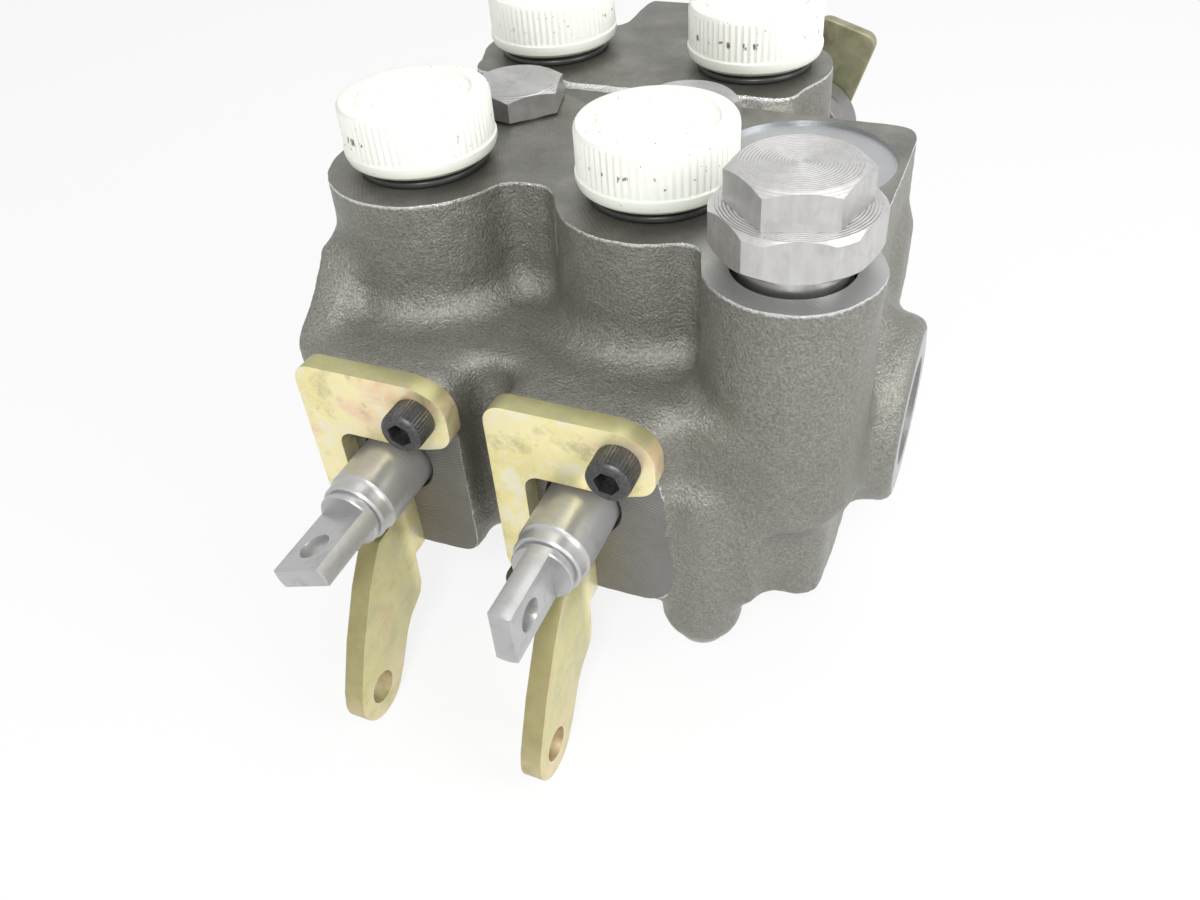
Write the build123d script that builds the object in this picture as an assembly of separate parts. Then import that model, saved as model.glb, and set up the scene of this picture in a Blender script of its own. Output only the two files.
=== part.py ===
from build123d import *
import os
from math import atan2, cos, degrees, radians, sin

# Two-spool hydraulic control valve in one cast housing, in millimetres.
# +X is to the right, +Y to the rear, +Z up. The operator's ends of the spools point to -Y.
# The origin is the middle of the four mounting feet, on the plane that they stand on.

# Housing
FRONT = -76.2
REAR = 76.2
TOP_Z = 93.8
DECK_Z = 67.0
BOTTOM_Z = 16.0
LEFT_WALL = -50.0
RIGHT_WALL = 70.0
REAR_RIGHT_WALL = 58.0
WALL_STEP_Y = 8.0
BASE_WALL_SETBACK = 11.0
BASE_CORNER_R = 5.5
PAD_HALF_WIDTH = 17.2
PAD_CORNER_R = 5.0
FOOT_SPACING_X = 88.9
FOOT_SPACING_Y = 133.4
FOOT_R = 9.4
FOOT_TIP_R = 5.6
FOOT_TOP = 25.0
FOOT_RIB_TOP = 53.0
FOOT_TAP_R = 3.3
FOOT_TAP_DEPTH = 14.0
GUSSET_TOP_Z = 80.0
GUSSET_WIDTH = 9.0
LEFT_WEB_WIDTH = 14.0
LEFT_WEB_Y = 71.0

# Spools and their bores
SPOOL_Z = 42.0
SPOOL_SPACING = 45.2
SPOOL_X = {"left": -24.0, "right": -24.0 + SPOOL_SPACING}
SPOOL_TURN = {"left": 22.0, "right": 90.0}
SPOOL_R = 7.94
BORE_R = 7.99
SPOOL_TRAVEL = 6.35
SPOOL_NECK_R = 4.6
GROOVE_R = 11.2
SEAL_GROOVE_R = 10.4
SEAL_GROOVE_WIDTH = 3.6
SEAL_SETBACK = 4.0
TANK_Y = 54.0
BRIDGE_Y = 17.5
SUPPLY_Y = -4.0

# Work ports, with their transit plugs
PORT_X = {"left": -30.1, "right": 24.6}
PORT_Y = {"front": -35.2, "rear": 35.2}
PORT_BOSS_R = 21.5
PORT_THREAD_R = 10.2
PORT_THREAD_DEPTH = 17.0
PORT_MOUTH_R = 12.6
PORT_MOUTH_DEPTH = 2.2
PORT_DRILL_R = 6.5
PLUG_FLANGE_R = 16.67
PLUG_FLANGE_HEIGHT = 13.3
PLUG_GAP = 2.4
PLUG_RIBS = 60

# Supply port on the right side and return port on the top
SIDE_PORT_FACE_X = 80.5
SIDE_PORT_Z = 46.0
SIDE_PORT_Y = -30.0
SIDE_BOSS_R = 21.0
SIDE_DRILL_DEPTH = 40.0
RETURN_PORT = (49.0, -14.0)
RETURN_SPOTFACE_R = 19.5
RETURN_GALLERY_Z = 60.0

# Load checks
CHECK_OFFSET_X = 1.2
CHECK_Y = -2.7
CHECK_HEX = 20.64
CHECK_HEX_HEIGHT = 6.2
CHECK_THREAD_R = 9.0
CHECK_SEAT_Z = 66.0

# Relief valve
RELIEF_X = 57.6
RELIEF_Y = -55.4
RELIEF_BOSS_R = 16.6
RELIEF_BOSS_FOOT_R = 12.2
RELIEF_BOTTOM_Z = 22.0
RELIEF_MOUTH_R = 12.6
RELIEF_HEX = 28.58
RELIEF_HEX_TURNED_R = 15.4
RELIEF_CAP_HEX = 22.22
RELIEF_HEX_Z = 99.0
RELIEF_CAP_Z = 107.2
RELIEF_TOP_Z = 113.4
RELIEF_TURN = 16.0
RELIEF_SEAT_Z = 53.0

# Handle brackets and the screws that hold them
PLATE_T = 4.76
SCREW_X = 11.0
SCREW_Z = 18.6
SCREW_R = 3.1
SCREW_HEAD_R = 4.76
SCREW_HEAD_H = 6.35
SCREW_REACH = 12.0
EAR_X = -0.9
EAR_HOLE = (-28.0, -48.3)
EAR_HOLE_R = 3.97

# End caps and centring springs
CAP_LENGTH = 48.0
CAP_R = 16.5
CAP_WALL = 3.0
CAP_END_WALL = 5.5
CAP_FLANGE_T = 8.0
SHOULDER_Y = REAR + SPOOL_TRAVEL + 0.5
STRAP_TILT = 18.0
STRAP_HALF_WIDTH = 10.2
STRAP_TOP = 33.0


def along_y(radius, y_low, y_high, x=0.0, z=0.0):
    """A cylinder whose axis runs front to rear."""
    middle = (y_low + y_high) / 2
    return Pos(x, middle, z) * Rot(90, 0, 0) * Cylinder(radius, y_high - y_low)


def along_x(radius, x_low, x_high, y=0.0, z=0.0):
    """A cylinder whose axis runs left to right."""
    middle = (x_low + x_high) / 2
    return Pos(middle, y, z) * Rot(0, 90, 0) * Cylinder(radius, x_high - x_low)


def along_z(radius, z_low, z_high, x=0.0, y=0.0):
    """An upright cylinder."""
    return Pos(x, y, (z_low + z_high) / 2) * Cylinder(radius, z_high - z_low)


def turned(points):
    """A solid of revolution about Z from (radius, z) points of its half section."""
    face = make_face(Polyline(*[(r, 0, z) for r, z in points], close=True))
    return revolve(face, Axis.Z)


def hexagon(across_flats, z_low, z_high, turn=0.0):
    """A hexagonal prism about Z, with a corner on +X before it is turned."""
    section = RegularPolygon(across_flats / 2, 6, major_radius=False)
    prism = extrude(section, z_high - z_low)
    return Pos(0, 0, z_low) * Rot(0, 0, turn) * prism


def turned_bar(across_flats, chamfer_r, z_low, z_high, turn=0.0):
    """A hexagon head whose upper corners are turned away in a 30-degree chamfer."""
    head = hexagon(across_flats, z_low, z_high, turn)
    corner_r = across_flats / 2 / cos(radians(30))
    drop = (corner_r + 1 - chamfer_r) * 0.577
    envelope = turned([(0, z_low), (corner_r + 1, z_low), (corner_r + 1, z_high - drop),
                       (chamfer_r, z_high), (0, z_high)])
    return head & envelope


def boss_skirt(radius, sweep_r):
    """The concave root of a round boss, as a ring that flares out on to the deck."""
    corner = (radius + sweep_r * 0.293, 0, sweep_r * 0.293)
    section = Line((radius - 2, 0, 0), (radius + sweep_r, 0, 0))
    section += ThreePointArc((radius + sweep_r, 0, 0), corner, (radius, 0, sweep_r))
    section += Line((radius, 0, sweep_r), (radius - 2, 0, sweep_r))
    section += Line((radius - 2, 0, sweep_r), (radius - 2, 0, 0))
    return revolve(make_face(section), Axis.Z)


def top_outline():
    """Plan of the machined top: four round port bosses on a broad web with a rear step."""
    web = Pos(12, -15.6) * Rectangle(116, 46.8)
    rear_web = Pos(-3, 23) * Rectangle(86, 32)
    plan = web + rear_web
    for x in PORT_X.values():
        for y in PORT_Y.values():
            plan += Pos(x, y) * Circle(PORT_BOSS_R)
    return plan


def foot_places():
    """Plan positions of the four feet."""
    return [(sx * FOOT_SPACING_X / 2, sy * FOOT_SPACING_Y / 2) for sx in (-1, 1) for sy in (-1, 1)]


def lower_block():
    """The spool housing: a stepped block with a raised pad column at both ends of each spool."""
    reach = REAR - BASE_WALL_SETBACK
    height = DECK_Z - BOTTOM_Z
    plan = plan_box(LEFT_WALL, REAR_RIGHT_WALL, -reach, reach)
    plan += plan_box(0, RIGHT_WALL, -reach, WALL_STEP_Y)
    block = Pos(0, 0, BOTTOM_Z) * extrude(plan, height)
    block = fillet(block.edges().filter_by(Axis.Z), BASE_CORNER_R)
    web = plan_box(LEFT_WALL, LEFT_WALL + LEFT_WEB_WIDTH, -LEFT_WEB_Y, LEFT_WEB_Y)
    web = Pos(0, 0, BOTTOM_Z) * extrude(web, height)
    block += fillet(web.edges().filter_by(Axis.Z), 4)
    for x in SPOOL_X.values():
        column = fillet(Rectangle(2 * PAD_HALF_WIDTH, height).vertices(), PAD_CORNER_R)
        block += Pos(x, REAR, BOTTOM_Z + height / 2) * Rot(90, 0, 0) * extrude(column, REAR - FRONT)
    return block


def plan_box(x_low, x_high, y_low, y_high):
    """A rectangle in plan between four walls."""
    return Pos((x_low + x_high) / 2, (y_low + y_high) / 2) * Rectangle(x_high - x_low, y_high - y_low)


def feet():
    """Four tapered round feet, each blended into the housing above it."""
    solids = []
    for x, y in foot_places():
        top = FOOT_RIB_TOP if x > 0 and y < 0 else FOOT_TOP
        section = [(0, 0), (FOOT_TIP_R, 0), (FOOT_TIP_R, 1), (FOOT_R - 1.5, 4), (FOOT_R, 7),
                   (FOOT_R, top - 6), (FOOT_R - 4, top), (0, top)]
        solids.append(Pos(x, y, 0) * turned(section))
    return solids


def corner_web():
    """The wall that joins the right spool's front column to the relief boss and its foot."""
    low_x = SPOOL_X["right"] + PAD_HALF_WIDTH - 3
    wide = RELIEF_X - low_x
    height = DECK_Z - BOTTOM_Z
    web = Pos(low_x + wide / 2, FRONT + 14, BOTTOM_Z + height / 2) * Box(wide, 20, height)
    return fillet(web.edges().filter_by(Axis.X), 4)


def side_boss():
    """The round boss of the supply port, and the small cast lug behind it on the same wall."""
    boss = along_x(SIDE_BOSS_R, RIGHT_WALL - 10, SIDE_PORT_FACE_X, SIDE_PORT_Y, SIDE_PORT_Z)
    boss = fillet(boss.faces().sort_by(Axis.X)[-1].edges(), 2.5)
    lug = Pos(RIGHT_WALL - 2.7, -6.5, DECK_Z + 0.5) * Box(10, 13, 21)
    lug = fillet(lug.faces().sort_by(Axis.X)[-1].edges(), 2)
    return boss + lug


def left_gallery():
    """The raised return gallery along the left wall, with sloped ends."""
    front = [(-LEFT_WEB_Y, DECK_Z - 8), (1 - LEFT_WEB_Y, DECK_Z - 2.5), (14 - LEFT_WEB_Y, GUSSET_TOP_Z - 4.5),
             (17 - LEFT_WEB_Y, GUSSET_TOP_Z)]
    rear = [(-y, z) for y, z in reversed(front)]
    section = fillet(make_face(Polyline(*front, *rear, close=True)).vertices(), 1.6)
    gallery = Plane.YZ * extrude(section, GUSSET_WIDTH)
    return Pos(LEFT_WALL, 0, 0) * gallery


def casting():
    """The rough casting, before machining."""
    block = lower_block()
    body = block + left_gallery()
    upper = Pos(0, 0, DECK_Z - 6) * extrude(top_outline(), TOP_Z - DECK_Z + 6)
    upper = fillet(upper.edges().filter_by(Axis.Z), 5)
    body += upper
    body += relief_boss()
    limits = Pos(0, 0, DECK_Z) * extrude(plan_box(LEFT_WALL, RIGHT_WALL, FRONT + 5, REAR - 5), 20)
    for x in PORT_X.values():
        for y in PORT_Y.values():
            body += (Pos(x, y, DECK_Z) * boss_skirt(PORT_BOSS_R, 8)) & limits
    body += side_boss()
    for foot in feet():
        body += foot
    body += corner_web()
    return body


def relief_boss():
    """The relief valve's column: a slender round foot that flares out to the boss above."""
    foot_r = RELIEF_BOSS_FOOT_R
    waist_z = RELIEF_BOTTOM_Z + 15
    column = turned([(0, RELIEF_BOTTOM_Z), (foot_r, RELIEF_BOTTOM_Z), (foot_r, waist_z),
                     (RELIEF_BOSS_R, waist_z + 5), (RELIEF_BOSS_R, TOP_Z), (0, TOP_Z)])
    column = fillet(column.faces().sort_by(Axis.Z)[0].edges(), 4)
    return Pos(RELIEF_X, RELIEF_Y, 0) * column


def port_cut(depth, drill_depth):
    """A threaded port as a cutter below Z = 0: seal chamfer, thread and drilled passage."""
    cutter = turned([(0, 0.5), (PORT_MOUTH_R, 0.5), (PORT_MOUTH_R, 0), (PORT_THREAD_R, -PORT_MOUTH_DEPTH),
                     (PORT_THREAD_R, -depth), (PORT_DRILL_R, -depth - 2), (PORT_DRILL_R, -drill_depth),
                     (0, -drill_depth)])
    return cutter


def spool_bore(x):
    """One spool's bore with its cored galleries and seal grooves, as a cutter."""
    bore = along_y(BORE_R, FRONT - 1, REAR + 1, x, SPOOL_Z)
    galleries = [(-TANK_Y, 9), (-PORT_Y["rear"], 9), (-BRIDGE_Y, 8), (SUPPLY_Y, 8), (BRIDGE_Y - 4, 8),
                 (PORT_Y["rear"], 9), (TANK_Y, 9)]
    for y, width in galleries:
        bore += along_y(GROOVE_R, y - width / 2, y + width / 2, x, SPOOL_Z)
    for side in (-1, 1):
        y = side * (REAR - SEAL_SETBACK - SEAL_GROOVE_WIDTH / 2)
        half = SEAL_GROOVE_WIDTH / 2
        bore += along_y(SEAL_GROOVE_R, y - half, y + half, x, SPOOL_Z)
    return bore


def screw_holes(x):
    """The tapped holes on the diagonal of each pad, front and rear, as cutters."""
    holes = []
    for side in (-1, 1):
        for y, inward in ((FRONT, 1), (REAR, -1)):
            low, high = sorted((y - inward, y + inward * (SCREW_REACH + 2)))
            holes.append(along_y(SCREW_R + 0.05, low, high, x + side * SCREW_X, SPOOL_Z + side * SCREW_Z))
    return holes


def machining():
    """Every bore, port, passage and spotface of the housing."""
    cuts = []
    for name, x in SPOOL_X.items():
        cuts.append(spool_bore(x))
        cuts += screw_holes(x)
        for y in PORT_Y.values():
            cuts.append(Pos(PORT_X[name], y, TOP_Z) * port_cut(PORT_THREAD_DEPTH, TOP_Z - SPOOL_Z - 2))
    for x in check_places().values():
        seat = turned([(0, TOP_Z + 1), (CHECK_THREAD_R, TOP_Z + 1), (CHECK_THREAD_R, CHECK_SEAT_Z),
                       (5, CHECK_SEAT_Z), (5, SPOOL_Z + 6), (0, SPOOL_Z + 6)])
        cuts.append(Pos(x, CHECK_Y, 0) * seat)
    relief = turned([(0, TOP_Z + 1), (RELIEF_MOUTH_R, TOP_Z + 1), (RELIEF_MOUTH_R, TOP_Z - 9),
                     (10.5, TOP_Z - 11), (10.5, RELIEF_SEAT_Z), (4, RELIEF_SEAT_Z), (4, SPOOL_Z - 8),
                     (0, SPOOL_Z - 8)])
    cuts.append(Pos(RELIEF_X, RELIEF_Y, 0) * relief)
    side_port = Rot(0, 90, 0) * port_cut(PORT_THREAD_DEPTH, SIDE_DRILL_DEPTH)
    cuts.append(Pos(SIDE_PORT_FACE_X, SIDE_PORT_Y, SIDE_PORT_Z) * side_port)
    link_x = SIDE_PORT_FACE_X - SIDE_DRILL_DEPTH + 5.5
    cuts.append(along_y(5, SIDE_PORT_Y, SUPPLY_Y, link_x, SPOOL_Z))
    cuts.append(along_x(5, SPOOL_X["left"], link_x, SUPPLY_Y, SPOOL_Z))
    cuts.append(along_y(4, RELIEF_Y, SIDE_PORT_Y, RELIEF_X - 4, SPOOL_Z - 4))
    cuts.append(Pos(*RETURN_PORT, TOP_Z) * port_cut(PORT_THREAD_DEPTH, TOP_Z - RETURN_GALLERY_Z))
    gallery_x = RETURN_PORT[0] - 7
    cuts.append(along_y(4.5, -TANK_Y, TANK_Y, gallery_x, RETURN_GALLERY_Z))
    cuts.append(along_x(3, gallery_x, RELIEF_X, -TANK_Y, RETURN_GALLERY_Z + 1))
    for side_y in (-TANK_Y, TANK_Y):
        cuts.append(along_x(3.8, SPOOL_X["left"] + 1, gallery_x + 2, side_y, SPOOL_Z + 5))
        cuts.append(along_z(4.2, SPOOL_Z + 3, RETURN_GALLERY_Z + 1, gallery_x, side_y))
    for x, y in foot_places():
        cuts.append(along_z(FOOT_TAP_R, -1, FOOT_TAP_DEPTH, x, y))
    spotface = along_z(RETURN_SPOTFACE_R, TOP_Z - 0.8, TOP_Z + 1, *RETURN_PORT)
    cuts.append(spotface)
    return cuts


def check_places():
    """Centre X of the load check above each spool."""
    return {"left": SPOOL_X["left"] + CHECK_OFFSET_X, "right": SPOOL_X["right"] - CHECK_OFFSET_X}


def valve_body():
    """The machined housing."""
    body = casting()
    valley = Pos(20, 10.5, TOP_Z) * Rot(0, 90, 0) * extrude(Ellipse(4, 5.5), 70, both=True)
    valley &= Pos(27, 10, TOP_Z) * Box(78, 16, 16)
    body -= valley
    for cut in machining():
        body -= cut
    return body


def spool(name):
    """A spool: ground lands and necks, turned front end and flat tang with its eye."""
    rod = along_y(SPOOL_R, FRONT - 15.5, SHOULDER_Y)
    for y in (-49, -22, 12.5, 44.5):
        neck = along_y(SPOOL_R + 1, y - 4.5, y + 4.5) - along_y(SPOOL_NECK_R, y - 5, y + 5)
        rod -= neck
    rod += along_y(7.35, FRONT - 18.9, FRONT - 15)
    rod = chamfer(rod.faces().sort_by(Axis.Y)[0].edges(), 0.5)
    rod += along_y(6.3, FRONT - 19.7, FRONT - 18.5)
    rod += along_y(6.8, FRONT - 21.0, FRONT - 19.6)
    rod += spool_tang()
    rod -= along_y(3.0, SHOULDER_Y - 14, SHOULDER_Y + 1)
    return Pos(SPOOL_X[name], 0, SPOOL_Z) * Rot(0, -SPOOL_TURN[name], 0) * rod


def spool_tang():
    """The flat tang: a slice of the round end, with chamfered edges and a cross hole."""
    tang = along_y(6.8, FRONT - 38, FRONT - 20) & (Pos(0, FRONT - 29, 0) * Box(20, 30, 4.76))
    tang = chamfer(tang.faces().sort_by(Axis.Y)[0].edges(), 0.6)
    return tang - along_z(3.4, -5, 5, 0, FRONT - 31)


def handle_bracket(name):
    """A C-shaped plate round the spool, with an ear bent forward below it."""
    outline = Pos(-3, 19) * Rectangle(30, 14) + Pos(-14.25, 0) * Rectangle(7.5, 40)
    outline += Pos(-9, -18.5) * Rectangle(18, 15)
    outline += Pos(SCREW_X, SCREW_Z) * Circle(7.4) + Pos(4, 17.6) * Rectangle(14, 16.8)
    outline = outline.face()
    plate = Rot(90, 0, 0) * extrude(outline, PLATE_T)
    corners = plate.edges().filter_by(Axis.Y)
    sharp = [e for e in corners if e.center().X < -9]
    plate = fillet(sharp, 3)
    ear = handle_ear()
    for side in (-1, 1):
        plate -= along_y(SCREW_R + 0.4, -PLATE_T - 1, 1, side * SCREW_X, side * SCREW_Z)
    bracket = plate + ear
    return Pos(SPOOL_X[name], FRONT, SPOOL_Z) * bracket


def handle_ear():
    """The forward ear: bent root, straight front edge, round eye end and bulged back."""
    eye_y, eye_z = EAR_HOLE
    side = Polyline((-2, -11.5), (-16, -11.5), (-35.5, -44), (-28, -50), (-20, -53), (-5.2, -39.5),
                    (-5.2, -30), (-2, -26), close=True)
    profile = make_face(side) + Pos(eye_y, eye_z) * Circle(8.2)
    ear = extrude(profile, PLATE_T / 2, both=True)
    ear = Plane.YZ * ear
    ear = Pos(EAR_X, 0, 0) * ear
    hole = along_x(EAR_HOLE_R, EAR_X - 5, EAR_X + 5, eye_y, eye_z)
    return ear - hole


def cap_screw(length):
    """A hex-socket cap screw along Y, with its seat on Y = 0 and its shank to the rear."""
    head = along_y(SCREW_HEAD_R, -SCREW_HEAD_H, 0)
    head = chamfer(head.faces().sort_by(Axis.Y)[0].edges(), 0.45)
    socket = Rot(90, 0, 0) * extrude(RegularPolygon(2.38, 6, major_radius=False), 4)
    head -= Pos(0, -SCREW_HEAD_H + 3.2, 0) * socket
    shank = along_y(SCREW_R, 0, length)
    return head + shank


def bracket_screws():
    """The four screws of the handle brackets."""
    screw = cap_screw(PLATE_T + SCREW_REACH)
    places = [(x + side * SCREW_X, SPOOL_Z + side * SCREW_Z) for x in SPOOL_X.values() for side in (-1, 1)]
    return [Pos(x, FRONT - PLATE_T, z) * screw for x, z in places]


def seal_ring(radius, inner, half_width):
    """A rounded ring about Z, for a seal or an O-ring."""
    middle = (radius + inner) / 2
    section = Pos(middle, 0, 0) * Rot(90, 0, 0) * RectangleRounded(radius - inner, 2 * half_width, 0.45)
    return revolve(section, Axis.Z)


def spool_seal(name, side):
    """A seal in its groove at one end of a spool bore."""
    y = side * (REAR - SEAL_SETBACK - SEAL_GROOVE_WIDTH / 2)
    ring = seal_ring(SEAL_GROOVE_R, BORE_R + 0.02, SEAL_GROOVE_WIDTH / 2)
    return Pos(SPOOL_X[name], y, SPOOL_Z) * Rot(90, 0, 0) * ring


def port_plug(x, y):
    """A moulded transit plug: ribbed flange with a dished top, and a hollow threaded shank."""
    top = PLUG_GAP + PLUG_FLANGE_HEIGHT
    rim_r = PLUG_FLANGE_R - 0.35
    plug = turned([(0, PLUG_GAP + 2), (6.5, PLUG_GAP + 2), (6.5, -14), (8.6, -14), (9.9, -12.5), (9.9, PLUG_GAP),
                   (rim_r - 2.2, PLUG_GAP), (rim_r - 0.6, PLUG_GAP + 0.8), (rim_r, PLUG_GAP + 2.6),
                   (rim_r, top - 0.5), (rim_r - 0.5, top), (12.4, top), (12.0, top - 1.2), (0, top - 1.2)])
    rib = extrude(Circle(0.42), PLUG_FLANGE_HEIGHT - 3.4)
    ribs = PolarLocations(rim_r, PLUG_RIBS) * (Pos(0, 0, PLUG_GAP + 2.8) * rib)
    return Pos(x, y, TOP_Z) * (plug + ribs)


def port_plug_oring(x, y):
    """The O-ring squeezed between the plug's flange and the port's seal chamfer."""
    ring = turned([(9.95, -0.3), (12.2, -0.3), (12.6, 0.02), (13.6, 0.02), (14.1, 0.6), (14.1, 1.9),
                   (13.6, PLUG_GAP), (9.95, PLUG_GAP)])
    return Pos(x, y, TOP_Z) * ring


def check_plug(x):
    """A hex plug over a load check, bored underneath to guide the poppet's spring."""
    plug = turned_bar(CHECK_HEX, 9.9, TOP_Z + 0.6, TOP_Z + CHECK_HEX_HEIGHT, 16)
    plug += along_z(CHECK_THREAD_R - 0.05, TOP_Z - 14, TOP_Z + 1)
    plug += along_z(9.9, TOP_Z + 0.02, TOP_Z + 1)
    plug -= along_z(5.5, TOP_Z - 15, TOP_Z - 3)
    plug -= along_z(CHECK_THREAD_R, TOP_Z - 4.2, TOP_Z - 1.8) - along_z(7.4, TOP_Z - 5, TOP_Z)
    return Pos(x, CHECK_Y, 0) * plug


def check_oring(x):
    """The O-ring in the check plug's groove."""
    ring = seal_ring(CHECK_THREAD_R, 7.42, 1.1)
    return Pos(x, CHECK_Y, TOP_Z - 3) * ring


def check_poppet(x):
    """The load check's poppet: a flat-faced head over the seat, with a spring spigot."""
    z = CHECK_SEAT_Z
    poppet = turned([(0, z - 3), (3.2, z - 3), (4.6, z - 1), (4.6, z + 0.05), (7.6, z + 0.05),
                     (7.6, z + 4), (7, z + 4.6), (3, z + 4.6), (3, z + 8), (0, z + 8)])
    return Pos(x, CHECK_Y, 0) * poppet


def coil_spring(radius, wire_r, z_low, z_high, turns):
    """A compression spring about Z between two flat seats."""
    height = z_high - z_low - 2 * wire_r - 0.1
    path = Helix(height / turns, height, radius)
    start = Plane(origin=path @ 0, z_dir=path % 0)
    wire = sweep(start * RegularPolygon(wire_r, 6), path=path)
    return Pos(0, 0, z_low + wire_r + 0.05) * wire


def relief_body():
    """The relief cartridge: hexagon, neck, threaded barrel and nose with its seat."""
    head = turned_bar(RELIEF_HEX, 13.6, RELIEF_HEX_Z, RELIEF_CAP_Z, RELIEF_TURN)
    head &= along_z(RELIEF_HEX_TURNED_R, RELIEF_HEX_Z - 1, RELIEF_CAP_Z + 1)
    barrel = turned([(0, RELIEF_SEAT_Z + 0.02), (7.5, RELIEF_SEAT_Z + 0.02), (8.4, RELIEF_SEAT_Z + 2),
                     (8.4, RELIEF_SEAT_Z + 18), (10.4, RELIEF_SEAT_Z + 20), (10.4, TOP_Z - 11), (11.4, TOP_Z - 10), (11.4, TOP_Z - 2),
                     (10.8, TOP_Z - 1), (10.8, TOP_Z + 2.5), (13.4, RELIEF_HEX_Z), (0, RELIEF_HEX_Z)])
    bore = turned([(0, RELIEF_SEAT_Z - 1), (3, RELIEF_SEAT_Z - 1), (3, RELIEF_SEAT_Z + 5), (6, RELIEF_SEAT_Z + 6),
                   (6, RELIEF_CAP_Z + 1), (0, RELIEF_CAP_Z + 1)])
    cross = along_x(2, -12, 12, 0, RELIEF_SEAT_Z + 10) + along_y(2, -12, 12, 0, RELIEF_SEAT_Z + 10)
    groove = along_z(11.5, TOP_Z - 8, TOP_Z - 5.6) - along_z(9.6, TOP_Z - 9, TOP_Z - 5)
    return head + barrel - bore - cross - groove


def relief_cap():
    """The upper hexagon that closes the cartridge, with the spigot that loads the spring."""
    cap = turned_bar(RELIEF_CAP_HEX, 10.63, RELIEF_CAP_Z, RELIEF_TOP_Z, RELIEF_TURN)
    return cap + along_z(5.95, RELIEF_CAP_Z - 16, RELIEF_CAP_Z)


def relief_poppet():
    """The relief poppet: a cone above its seat and a guide that takes the spring."""
    z = RELIEF_SEAT_Z + 5.05
    return turned([(0, z - 1.2), (1.4, z - 1.2), (2.7, z), (5.7, z + 2.4), (5.7, z + 8.95), (3, z + 8.95),
                   (3, z + 11), (0, z + 11)])


def end_cap(name):
    """A round end cap with a two-screw flange, open towards the housing."""
    ears = [Vector(side * SCREW_X, -side * SCREW_Z) for side in (-1, 1)]
    flange = Circle(CAP_R)
    for ear in ears:
        flange += Pos(ear) * Circle(7.2)
    web = Rectangle(2 * ears[0].length, 14.4)
    flange += Rot(0, 0, degrees(atan2(ears[1].Y, ears[1].X))) * web
    dome = extrude(Circle(CAP_R), CAP_LENGTH)
    dome = fillet(dome.faces().sort_by(Axis.Z)[-1].edges(), 4)
    cap = extrude(flange, CAP_FLANGE_T) + dome
    cap -= Pos(0, 0, -1) * extrude(Circle(CAP_R - CAP_WALL), CAP_LENGTH - CAP_END_WALL + 1)
    for ear in ears:
        cap -= Pos(ear) * Cylinder(SCREW_R + 0.3, 30)
    if name == "right":
        cap -= along_z(SCREW_R + 0.05, CAP_LENGTH - CAP_END_WALL - 1, CAP_LENGTH + 1)
    return Pos(SPOOL_X[name], REAR, SPOOL_Z) * Rot(-90, 0, 0) * cap


def end_cap_screws():
    """The four screws of the end caps."""
    screw = Rot(0, 0, 180) * cap_screw(CAP_FLANGE_T + SCREW_REACH)
    places = [(x + side * SCREW_X, SPOOL_Z + side * SCREW_Z) for x in SPOOL_X.values() for side in (-1, 1)]
    return [Pos(x, REAR + CAP_FLANGE_T, z) * screw for x, z in places]


def spring_seat(y, facing):
    """A cupped washer that carries one end of a centring spring."""
    seat = along_y(11, y, y + 1.8 * facing) if facing > 0 else along_y(11, y - 1.8, y)
    inner = along_y(6, *sorted((y, y + facing * 5)))
    seat += inner
    return seat - along_y(4.2, y - 8, y + 8)


def spool_bolt():
    """The shouldered bolt that holds the spring and its seats to the spool."""
    shoulder = along_y(4.0, SHOULDER_Y, SHOULDER_Y + 24)
    thread = along_y(2.95, SHOULDER_Y - 12, SHOULDER_Y + 1)
    head = along_y(6.3, SHOULDER_Y + 24, SHOULDER_Y + 28)
    return shoulder + thread + head


def rear_strap():
    """The plain zinc-plated strap on the end of the right cap, leaning outwards."""
    outline = Pos(0, (STRAP_TOP - STRAP_HALF_WIDTH) / 2 + 2) * Rectangle(2 * STRAP_HALF_WIDTH, STRAP_TOP)
    outline = fillet(outline.vertices(), 3)
    strap = extrude(outline, PLATE_T) - Pos(0, 0, 2) * Cylinder(SCREW_R + 0.3, 8)
    strap = Rot(90, 0, 0) * strap
    return Pos(SPOOL_X["right"], REAR + CAP_LENGTH + PLATE_T, SPOOL_Z) * Rot(0, STRAP_TILT, 0) * strap


def write(name, shape):
    """Write one named piece, or a group of like pieces, as a STEP file."""
    if isinstance(shape, list):
        shape = Compound(children=shape)
    export_step(shape, f"parts/{name}.step")


def spring_pack(name):
    """The centring spring with its two seats and the bolt through them."""
    place = Pos(SPOOL_X[name], 0, SPOOL_Z)
    seat_a = spring_seat(SHOULDER_Y, 1)
    seat_b = spring_seat(SHOULDER_Y + 24, -1)
    coil = Pos(0, SHOULDER_Y, 0) * Rot(-90, 0, 0) * coil_spring(8.6, 1.1, 1.8, 22.2, 5)
    write(f"{name}_front_spring_seat", place * seat_a)
    write(f"{name}_rear_spring_seat", place * seat_b)
    write(f"{name}_centring_spring", place * coil)
    write(f"{name}_spool_bolt", place * spool_bolt())


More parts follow.
